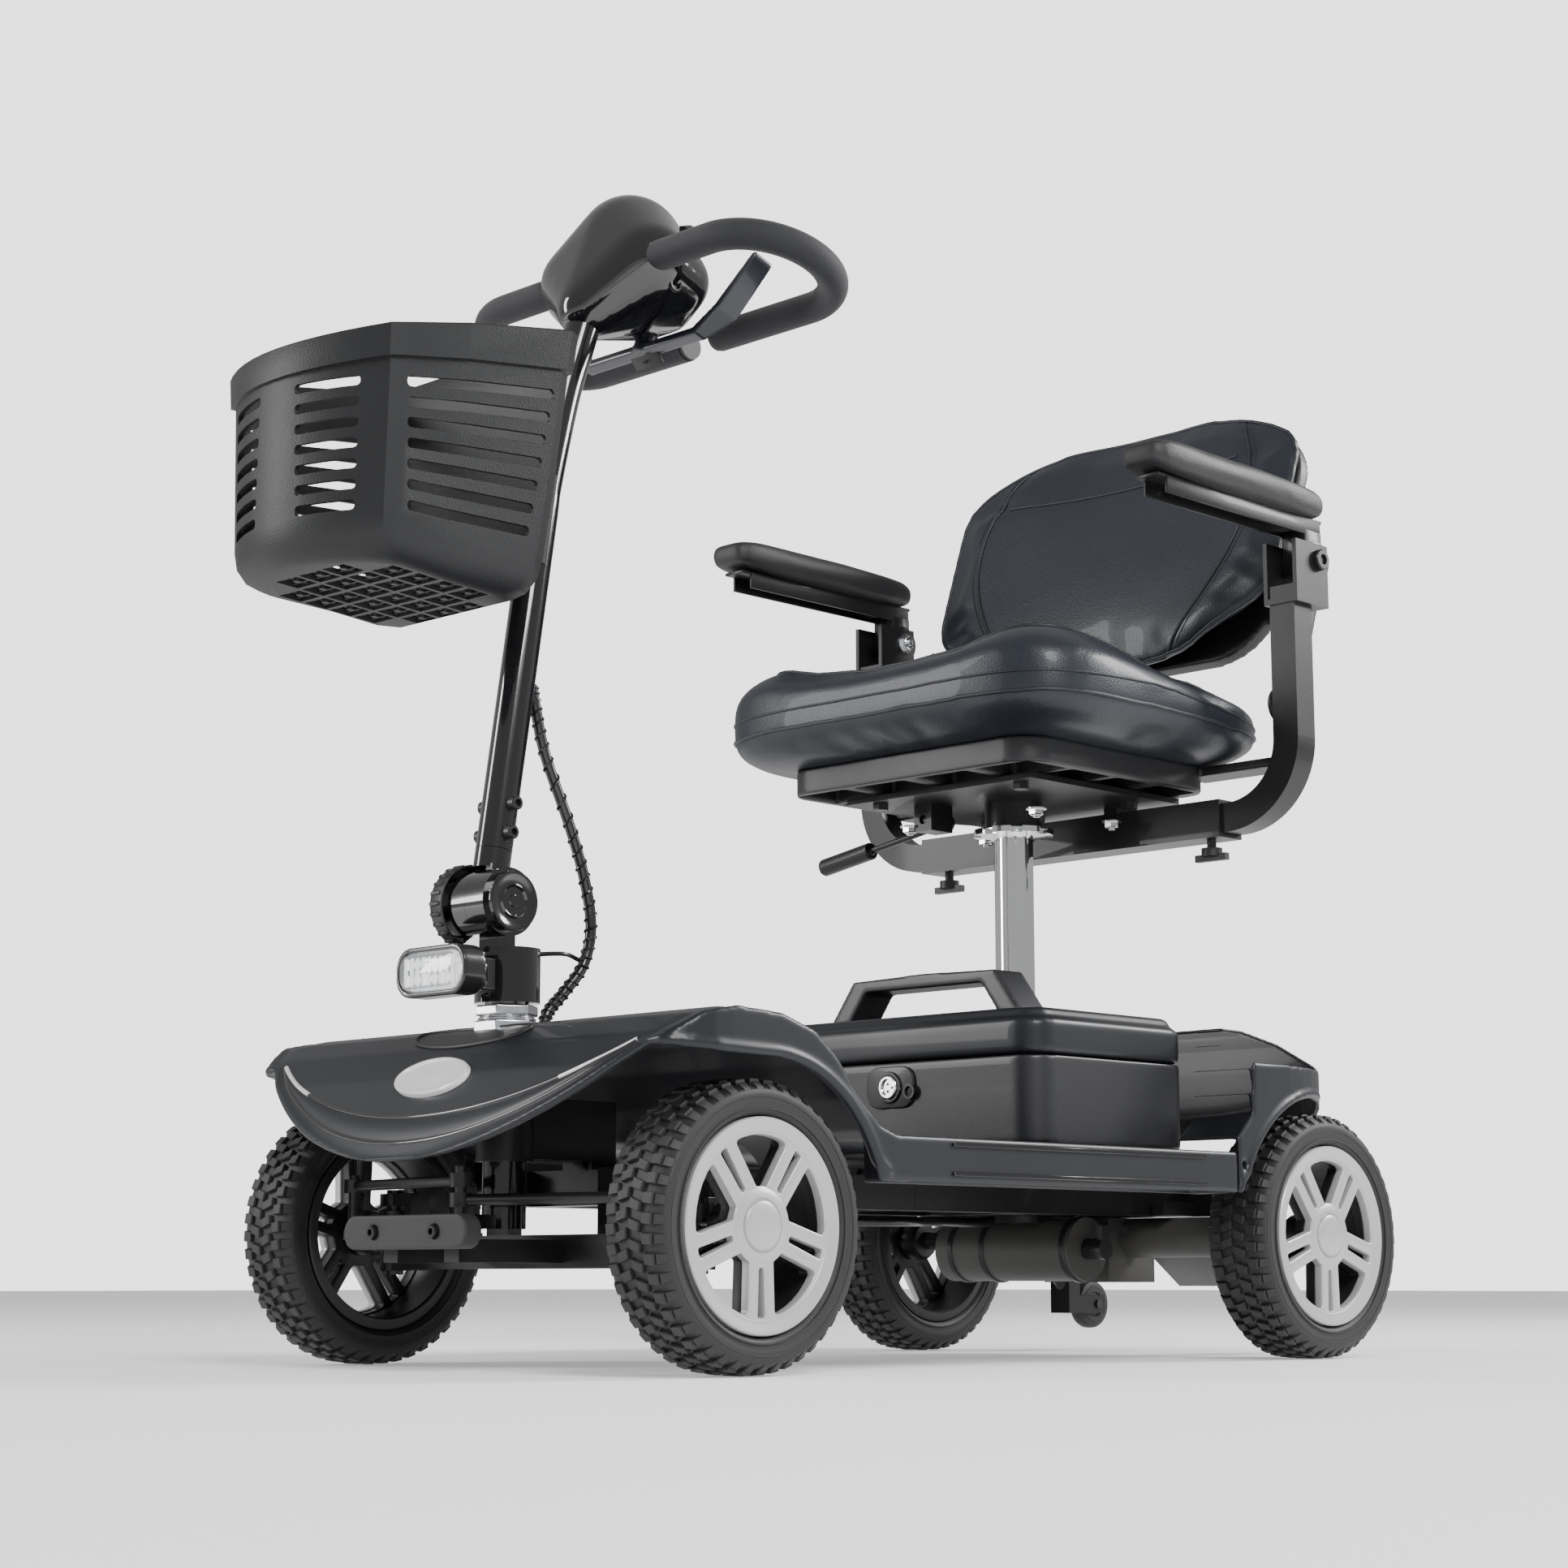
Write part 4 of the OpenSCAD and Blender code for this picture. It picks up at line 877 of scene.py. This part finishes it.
# one smooth tube from the clamp to the console
path = [point(COL, 0, 0, z) for z in (41, 100, 200, 300, 330)]
path += [point(HEAD, 0, 0, z) for z in (34, 80, 140)]
bm = bmesh.new()
sweep(bm, spline(path, 12), 0.0135, 40)
obj("column_tube", bm, "tiller", "column_gloss", reps=["tiller_tube"], angle=60)
bm = bmesh.new()
nuts = mid("head_nuts")
m = move((nuts.x, nuts.y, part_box("head_nuts")[0].z))
BORE = 16.4
revolve(bm, [(BORE, 0.2), (23, 0.2), (24, 1), (24, 8), (23, 8.8), (BORE, 8.8)], m, 6)
revolve(bm, [(BORE, 9), (21.2, 9), (21.2, 10.6), (BORE, 10.6)], m, 40)
revolve(bm, [(BORE, 10.8), (20, 10.8), (20, 12), (BORE, 12)], m, 40)
revolve(bm, [(BORE, 12.2), (22, 12.2), (23, 13), (23, 19), (22, 20), (BORE, 20)], m, 6)
obj("lock_nuts", bm, "steering", "nut_zinc", reps=["head_nuts"], bevel=0.0005)

# headlight: lens, ribs behind it and LED rows
lens = mid("headlight_lens")
LENS_X, LENS_Y = 34.5, 13.5
m = move((lens.x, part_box("headlight_lens")[0].y, lens.z)) @ rot(90, "X")
bm = bmesh.new()
skin(bm, [[point(m, x * (1 + grow / LENS_X), y * (1 + grow / LENS_Y), h) for x, y in oblong(LENS_X, LENS_Y, 12.5, 8)]
          for grow, h in ((0, -9.4), (0, -3.0), (-0.8, -1.2), (-2.6, 0.2), (-5.5, 1.0))])
obj("lamp_lens", bm, "steering", "lamp_clear", reps=["headlight_lens"], angle=50)
bm = bmesh.new()
for i in range(9):
    block(bm, (3.6, 19, 2.6), m @ local(-26 + 6.5 * i, 0, -3.6), 0.9)
obj("lamp_ribs", bm, "steering", LED)
bm = bmesh.new()
for i in range(6):
    for j in (-1, 1):
        revolve(bm, [(3.4, -7), (3.6, -5.4), (2.4, -5), (0, -4.8)], m @ local(-24 + 9.6 * i, 5.2 * j), 14)
obj("lamp_leds", bm, "steering", LED)
moulded("headlight_housing", "lamp_body", "steering", "lamp_black", 0.0012, 5, 0.6)

# wiring in spiral wrap, from the column down into the shroud
pts = [point(COL, 0, 14.5, 172), point(COL, 0, 21, 156), point(COL, 0, 36, 124), V(2, -301, 400), V(4, -287, 360),
       V(4, -280, 325), V(3, -286, 296), V(1, -303, 274), V(0, -318, 258), V(0, -322, 244)]
line = spline(pts, 12)
bm = bmesh.new()
sweep(bm, line, 0.0042)
WRAPS, PER_WRAP = 34, 12
wrap = []
total = len(line) - 1
for i in range(WRAPS * PER_WRAP + 1):
    s = i / (WRAPS * PER_WRAP) * total
    k = min(int(s), total - 1)
    u = Vector((1, 0, 0))
    w = (line[k + 1] - line[k]).normalized().cross(u).normalized()
    t = 2 * pi * i / PER_WRAP
    wrap.append(line[k].lerp(line[k + 1], s - k) + (u * cos(t) + w * sin(t)) * 0.0044)
sweep(bm, wrap, 0.0011, 5)
harness = obj("wiring_wrap", bm, None, "wiring", angle=60)
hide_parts("cable_harness")
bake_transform(harness)
bm = bmesh.new()
sweep(bm, spline([V(14, -346, 298), V(20, -320, 300), V(12, -298, 298), V(6, -288, 305)], 10), 0.0017, 8)
obj("side_wire", bm, "steering", "wiring")

# ---- console ----
def console_form():
    """The hull of a few balls, in the console's own place, softened."""
    bm = bmesh.new()
    for x, y, z, r in ((0, 23, 187, 43), (38, 16, 158, 34), (34, 48, 162, 28), (0, 0, 116, 24), (0, 52, 186, 30),
                       (14, 6, 128, 20), (16, 66, 150, 16)):
        for side in (1, -1) if x else (1,):
            bmesh.ops.create_icosphere(bm, subdivisions=3, radius=r * MM, matrix=local(side * x, y, z))
    hull = bmesh.ops.convex_hull(bm, input=bm.verts)
    inner = [g for g in hull["geom_interior"] if isinstance(g, bmesh.types.BMVert)]
    bmesh.ops.delete(bm, geom=inner, context="VERTS")
    o = new_object("console_form", to_mesh("console_form", bm))
    voxels(o, 0.0025)
    even_out(o, 22)
    return applied(o)


form = console_form()
SEAM = [(-40, 62), (-19, 88), (-8, 126), (2, 152), (20, 170), (60, 178), (130, 184)]


def seam_prism(drop):
    """Everything above the seam, lowered by drop mm."""
    line = [(a, b - drop) for a, b, _ in spline([(a, b, 0) for a, b in SEAM], 5)]
    line += [(140, 300), (-60, 300), (-60, 60 - drop)]
    bm = bmesh.new()
    skin(bm, [[Vector((x, a, b)) * MM for a, b in line] for x in (-150, 150)])
    bmesh.ops.recalc_face_normals(bm, faces=bm.faces)
    return new_object("seam", to_mesh("seam", bm))


for part, name, kind, drop in (("console_upper", "console_top", "INTERSECT", 0),
                               ("console_lower", "console_base", "DIFFERENCE", 0.9)):
    half = new_object(name, form.data.copy())
    cut(half, seam_prism(drop), kind)
    half.data.transform(HEAD)
    paint(half, "console_gloss")
    shade(half, 50)
    round_edges(half, 0.0008, 50)
    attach(half, "tiller")
    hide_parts(part)
# a slightly smaller dark form shows in the seam
bm = bmesh.new()
bm.from_mesh(form.data)
centre = Vector((0, 0.03, 0.155))
for v in bm.verts:
    v.co = centre + (v.co - centre) * 0.965
bmesh.ops.transform(bm, matrix=HEAD, verts=bm.verts)
obj("console_core", bm, "tiller", INNER_BLACK, angle=80)
bpy.data.objects.remove(form)

core = surface(bpy.data.objects["console_base"])
bm = bmesh.new()
for s in (-1, 1):
    # screw recesses low on each flank
    p = laid(core, point(HEAD, s * 200, 28, 140), HEAD.to_3x3() @ Vector((-s, 0, 0)), 0.0002)
    q = move(p) @ HEAD.to_3x3().to_4x4() @ local(ry=90 * s)
    revolve(bm, [(4.2, 0.6), (5.6, 0.8), (6.2, 0), (6.2, -2)], q, 24, closed=False)
    revolve(bm, [(4.2, 0.6), (4.2, -1.2), (0, -1.2)], q, 24)
# metal bracket under the console
block(bm, (30, 3, 16), HEAD @ local(0, 66, 112, rx=60), 0.6)
revolve(bm, [(2.2, 0), (4.6, 0), (4.6, 1.6), (2.2, 1.6)], HEAD @ local(0, 70, 110, rx=60), 20)
obj("console_fixings", bm, "tiller", INNER_BLACK)
# dash panel with a bezel round each control
dash = HEAD @ local(0, 51, 204, rx=-48)
bm = bmesh.new()
for x, y, r, top in ((0, 6, 16, 13), (30, -2, 9.5, 6.6), (-30, -2, 10.5, 7)):
    revolve(bm, [(r - 2.4, top - 9), (r - 2.4, top), (r - 1.6, top + 0.8), (r, top), (r + 0.8, top - 9)],
            dash @ local(x, y), 40)
obj("dash_bezels", bm, "tiller", "dial_plastic")

# ---- basket ----
BASKET_Y = -546


def basket_level(z, t, tip):
    """The basket's outline at height z, moved in by t and tipped by tip degrees about its front."""
    k = (z - 552) / 160
    front_x, rear_x = 86 + 6 * k - t, 86 + 22 * k - t
    front, rear = BASKET_Y + t, 14.4 * k - 399.5 - t
    plan = [(front_x * (1 - i / 6), front - 30 * (1 - (i / 6 - 1) ** 2)) for i in range(13)]
    plan += [(-front_x - 3, front + 12), (-rear_x + 2, front + 60), (-rear_x, rear - 14), (-rear_x + 10, rear)]
    plan += [(rear_x - 10, rear), (rear_x, rear - 14), (rear_x - 2, front + 60), (front_x + 3, front + 12)]
    m = V(0, BASKET_Y, z)
    return [m + rot(tip, "X") @ (Vector((x, y - BASKET_Y, 0)) * MM) for x, y in plan]


bm = bmesh.new()
skin(bm, [basket_level(*level) for level in (
    (552, 17, -4.3), (553.5, 12.5, -4.3), (558, 6, -4.0), (568, 1.2, -3.4), (580, 0, -2.4), (630, 0, 1.0),
    (688, 0, 7.4), (689, -2.6, 7.5), (711, -3, 9.6), (712.4, -2, 9.6), (712.4, 1.6, 9.6), (711, 2.6, 9.6),
    (688, 3, 7.4), (630, 3, 1.0), (582, 3.2, -2.4), (570, 4.2, -3.4), (560.5, 8.5, -4.0), (556.6, 14, -4.3),
    (556, 18, -4.3))])
basket = obj("basket_body", bm, None, "basket_plastic", angle=35)
bm = bmesh.new()
SLOT_HALF, SLOT_ROUND = 3.6, 3.5
for k, slope in enumerate((0.2, 1.2, 2.4, 3.6, 4.8, 6.0, 7.0)):
    # slots with round ends: a long one through both sides, two in the front
    z = 586 + 14.6 * k
    q = at(0, -474 + 0.6 * k, z + 1.5 + k, rx=slope)
    line = oblong(54 + 1.5 * k, SLOT_HALF, SLOT_ROUND, 4)
    skin(bm, [[point(q, x, *p) for p in line] for x in (-200, 200)])
    line = oblong(23 + k * 0.5, SLOT_HALF, SLOT_ROUND, 4)
    for x in (-46, 46):
        q = at(x, -560, z)
        skin(bm, [[point(q, p[0], y, p[1]) for p in line] for y in (-60, 30)])
FLOOR = at(0, BASKET_Y, 552, rx=-4.3)
HOLES = [(i, j) for i in range(5) for j in range(6)]
for i, j in HOLES:
    if not (i in (0, 4) and j in (0, 5)):
        block(bm, (23.5, 19, 40), FLOOR @ local(-54 + 27 * i, 12 + 22.5 * j, 4), 0)
bmesh.ops.recalc_face_normals(bm, faces=bm.faces)
cut(basket, new_object("cutter", to_mesh("cutter", bm)))
round_edges(basket, 0.0006, 40)
shade(basket, 35)
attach(basket, "basket")
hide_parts("basket")
bm = bmesh.new()
for i in range(9):
    block(bm, (1.4, 132, 3), FLOOR @ local(-54 + 13.5 * i, 68, 3), 0.3, 1)
for j in range(12):
    block(bm, (128, 1.4, 3), FLOOR @ local(0, 6 + 11.25 * j, 3), 0.3, 1)
for i, j in HOLES:
    pin(bm, 2.6, 0.6, 4, FLOOR @ local(-54 + 27 * i, 12 + 22.5 * j), 10)
obj("basket_floor_ribs", bm, "basket", "basket_plastic")

# ---- seat ----
lo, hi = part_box("seat_cushion")
SEAT_C = Vector(((lo.x + hi.x) / 2, (lo.y + hi.y) / 2, 0))
HX, HY = (hi.x - lo.x) / 2 - 0.002, (hi.y - lo.y) / 2 - 0.001


def seat_shape(p):
    """Sloping top, raised along both edges near the front and dished in the middle."""
    x, y = p.x / HX, p.y / HY
    top, low = 0.584 - 0.015 * (y + 1), 0.5045
    u = (p.z + 1) / 2
    z = low + (top - low) * u
    if u > 0.5:
        k = (u - 0.5) * 2
        z += k * (0.015 * exp(-((abs(x) - 0.74) / 0.26) ** 2) * exp(-((y + 0.55) / 0.55) ** 2)
                  - 0.010 * exp(-(x / 0.5) ** 2) * (0.6 + 0.4 * exp(-(y / 0.6) ** 2)))
    return SEAT_C + Vector((p.x * (1 - 0.05 * max(0, y) ** 2), p.y, z))


SEAT_PLAN = 5.5
seat = super_form("cushion", (HX, HY, 1.0), SEAT_PLAN, 4.6, 34, seat_shape)
soften(seat, 0.005, 0.0055)
pad_piece(seat, "seat", "upholstery", "seat_cushion")
tree = surface(seat)


def seat_loop(height, lift):
    """Points round the cushion's side; height is given the place from front (-1) to back (1)."""
    return [nearest(tree, SEAT_C + Vector((x * (HX + 0.012), y * (HY + 0.012), height(y * (HY + 0.012) / HY))), lift)
            for x, y in super_loop(140, SEAT_PLAN)]


def on_seat(x, y):
    return laid(tree, SEAT_C + Vector((x, y, 0.75)), DOWN, 0.0003)


bm = bmesh.new()
sweep(bm, seat_loop(lambda y: 0.5235 - 0.003 * y, 0.0004), 0.0016, 8, closed=True)
sweep(bm, seat_loop(lambda y: 0.542 - 0.007 * y + 0.004 * cos(3 * y), 0.0002), 0.0011, 8, closed=True)
sweep(bm, [on_seat(x * (HX - 0.034), y * (HY - 0.034)) for x, y in super_loop(120, SEAT_PLAN)], 0.0017, 8, closed=True)
for s in (-1, 1):
    run = [-HY + 0.036 + (2 * HY - 0.075) * i / 29 for i in range(30)]
    sweep(bm, [on_seat(s * (0.098 + 0.016 * cos(pi * (y / HY))), y) for y in run], 0.0013, 8)
obj("cushion_seams", bm, "seat", WELT, angle=60)

# backrest: curved forward at its sides, and narrower low down and at the top
BACK_PLAN, BACK_MID, BACK_HALF = 5, 0.187, 0.131


def back_outline(z):
    """Half width at a height above the hinge, in metres."""
    if z > 0.25:
        return 0.2 - 0.085 * ((z - 0.25) / 0.068) ** 2.2
    if z < 0.125:
        return 0.2 - 0.052 * min(1, (0.125 - z) / 0.05) ** 1.6
    return 0.2


def back_shape(p):
    z = BACK_MID + p.z * BACK_HALF
    return BACK @ Vector((p.x * back_outline(z), -0.0035 + p.y * 0.0165 - 0.017 * abs(p.x) ** 2.2, z))


back = super_form("back", (1, 1, 1), BACK_PLAN, 2.4, 26, back_shape, axes=(0, 2, 1))
soften(back, 0.004, 0.0055)
pad_piece(back, "backrest", "upholstery", "backrest_cushion")
tree = surface(back)
fwd = BACK.to_3x3() @ INTO
bm = bmesh.new()


def back_seam(points, radius, sides=8, lift=0.0003):
    """Welt over the backrest's front through (x, z) points; those past its edge are left out."""
    pts = [laid(tree, BACK @ Vector((x, -0.3, z)), fwd, lift) for x, z in points]
    sweep(bm, [p for p in pts if p is not None], radius, sides)


for s in (-1, 1):
    for x0, radius, sides, lift in ((0.088, 0.0016, 8, 0.0003), (0.094, 0.0006, 6, 0.0001)):
        back_seam([(s * (x0 + 0.052 * sin(pi * u) + 0.03 * u), 0.066 + 0.245 * u) for u in [i / 30 for i in range(31)]],
                  radius, sides, lift)
back_seam([(-0.134 + 0.268 * u, 0.252 - 0.006 * sin(pi * u)) for u in [i / 24 for i in range(25)]], 0.0012)
edge = []
for x, y in super_loop(150, BACK_PLAN):
    z = BACK_MID + y * BACK_HALF
    p = Vector((x * (back_outline(z) + 0.004), -0.012 - 0.017 * min(1, abs(x)) ** 2.2, z))
    edge.append(nearest(tree, BACK @ p, 0.0003))
sweep(bm, edge, 0.0017, 8, closed=True)
obj("back_seams", bm, "backrest", WELT, angle=60)

# armrests: padded top on a channel rail, pivot lug and its bolt
for word, side in SIDES:
    piv = Vector(JOINT[f"armrest_flip_{word}"]["pos_m"])
    px, py, pz = side * 238, (piv.y - MY) / MM, piv.z / MM
    arm = f"armrest_{word}"

    def pad_shape(p):
        """Wider towards the front, turned up at its front and down at its back."""
        y = p.y
        wide = 1 - 0.10 * max(0, y) + 0.06 * max(0, -y - 0.3)
        rise = 2.0 * abs(y) ** 3 if y < 0 else -2.5 * max(0, y - 0.2)
        return V(px + p.x * 24.8 * wide, py - 106 + y * 120.5, pz + 51 + p.z * 13.4 + rise)
    pad = super_form(f"arm_pad_{word}", (1, 1, 1), 6, 5, 16, pad_shape)
    soften(pad, 0.002, 0.004)
    pad_piece(pad, arm, "pad_rubber", arm)
    bm = bmesh.new()
    block(bm, (23, 228, 3), at(px, py - 100, pz + 36), 0.8)
    block(bm, (25, 26, 40), at(px, py, pz + 8), 3)
    for s in (-1, 1):
        block(bm, (2.5, 214, 15), at(px + s * 10.8, py - 96, pz + 29.5), 0.6)
        revolve(bm, [(0, 0), (17, 0), (17, 3), (16, 3.6), (0, 3.6)], at(px + s * 12.6, py, pz, ry=90 * s), 40)
    pin(bm, 5, -20, 20, at(px, py, pz, ry=90), 24)
    obj(f"arm_rail_{word}", bm, arm, "frame_black")
    bm = bmesh.new()
    hexbolt(bm, at(px - side * 17.2, py, pz, ry=-90 * side), 7, 5)
    for dy in (-180, -30):
        hexbolt(bm, at(px, py + dy, pz + 34.4, ry=180), 4, 2)
    obj(f"arm_bolts_{word}", bm, arm, "nut_zinc")
    bm = bmesh.new()
    revolve(bm, [(0, 0), (9, 0), (9, 4), (8, 5), (4.6, 5), (4.6, 2), (0, 2)],
            at(px + side * 17.2, py, pz, ry=90 * side), 32)
    obj(f"arm_cap_{word}", bm, arm, "frame_black")

# bolts under the seat
bm = bmesh.new()
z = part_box("seat_plate")[0].z / MM
for x in (-72, 72):
    for y in (160, 262):
        hexbolt(bm, at(x, y, z + 6, rx=180), 6.5, 5)
obj("seat_bolts", bm, "seat", "nut_zinc")

# ---- materials on the CAD nodes that show as they are ----
SHOWN = {
    "frame_black": "front_frame rear_frame basket_bracket seat_plate armrest_receiver armrest_frame_left "
                   "armrest_frame_right",
    "gear_grey": "transaxle", "column_gloss": "steering_stem tiller_sleeve",
    "rod_steel": "tie_rod_left tie_rod_right knuckle_left knuckle_right",
    "grip_foam": "handlebar", "knob_plastic": "handlebar_caps clamp_knob_left clamp_knob_right",
    "dial_plastic": "speed_dial", "key_brass": "key", "horn_yellow": "horn_button", "pack_grey": "battery_pack",
    "post_chrome": "seat_post star_plate", "lever_dark": "freewheel_lever",
}
MAT_OF = {node: mat for mat, nodes in SHOWN.items() for node in nodes.split()}
for node, o in frame["nodes"].items():
    if o.hide_render:
        continue
    if node in MAT_OF:
        paint(o, MAT_OF[node])
    wide = 0.0032 if node.startswith(("armrest_frame", "armrest_receiver")) else 0.0018 if "frame" in node else 0.0008
    round_edges(o, wide, 45, 3)

# ---- stage, light and camera ----
bm = bmesh.new()
bmesh.ops.create_grid(bm, x_segments=2, y_segments=2, size=14)
floor = new_object("floor", to_mesh("floor", bm))
paper = bpy.data.materials.new("paper")
paper.use_nodes = True
for socket, value in (("Base Color", (0.9, 0.9, 0.91, 1)), ("Specular IOR Level", 0.1), ("Roughness", 0.7),
                      ("Emission Color", (1, 1, 1, 1)), ("Emission Strength", 0.35)):
    paper.node_tree.nodes["Principled BSDF"].inputs[socket].default_value = value
paint(floor, paper)

# an even room: bright where the camera sees it, dim where it lights the scooter
ROOM_LIGHT, ROOM_SEEN = 0.42, 2.6
world = bpy.data.worlds.new("studio")
bpy.context.scene.world = world
world.use_nodes = True
nodes, link = world.node_tree.nodes, world.node_tree.links.new
nodes["Background"].inputs["Color"].default_value = (1, 1, 1, 1)
path_node = nodes.new("ShaderNodeLightPath")
level = nodes.new("ShaderNodeMapRange")
level.inputs["To Min"].default_value = ROOM_LIGHT
level.inputs["To Max"].default_value = ROOM_SEEN
link(path_node.outputs["Is Camera Ray"], level.inputs["Value"])
link(level.outputs["Result"], nodes["Background"].inputs["Strength"])


def lamp(name, place, target, size, power, size_y=None):
    data = bpy.data.lights.new(name, "AREA")
    data.energy, data.size = power, size
    if size_y:
        data.shape, data.size_y = "RECTANGLE", size_y
    o = new_object(name, data)
    o.location = place
    o.rotation_euler = (Vector(target) - Vector(place)).to_track_quat("-Z", "Y").to_euler()


lamp("key_light", (2.8, -1.4, 2.4), (0, 0, 0.4), 1.3, 110)
lamp("fill_light", (-2.4, -2.6, 1.6), (0, 0, 0.4), 0.7, 75, 2.2)
lamp("back_light", (1.6, 2.6, 2.0), (0, 0, 0.5), 1.2, 110)

cam = bpy.data.cameras.new("camera")
camera = new_object("camera", cam)
az, pitch = radians(44.66), radians(9.52)  # looking left of ahead, and upwards
camera.location = (1.654, -1.691, 0.064)
forward = Vector((-sin(az) * cos(pitch), cos(az) * cos(pitch), sin(pitch)))
camera.rotation_euler = forward.to_track_quat("-Z", "Y").to_euler()
cam.lens, cam.sensor_width, cam.clip_start = 67.9, 36, 0.05
cam.dof.use_dof = False
bpy.context.scene.camera = camera
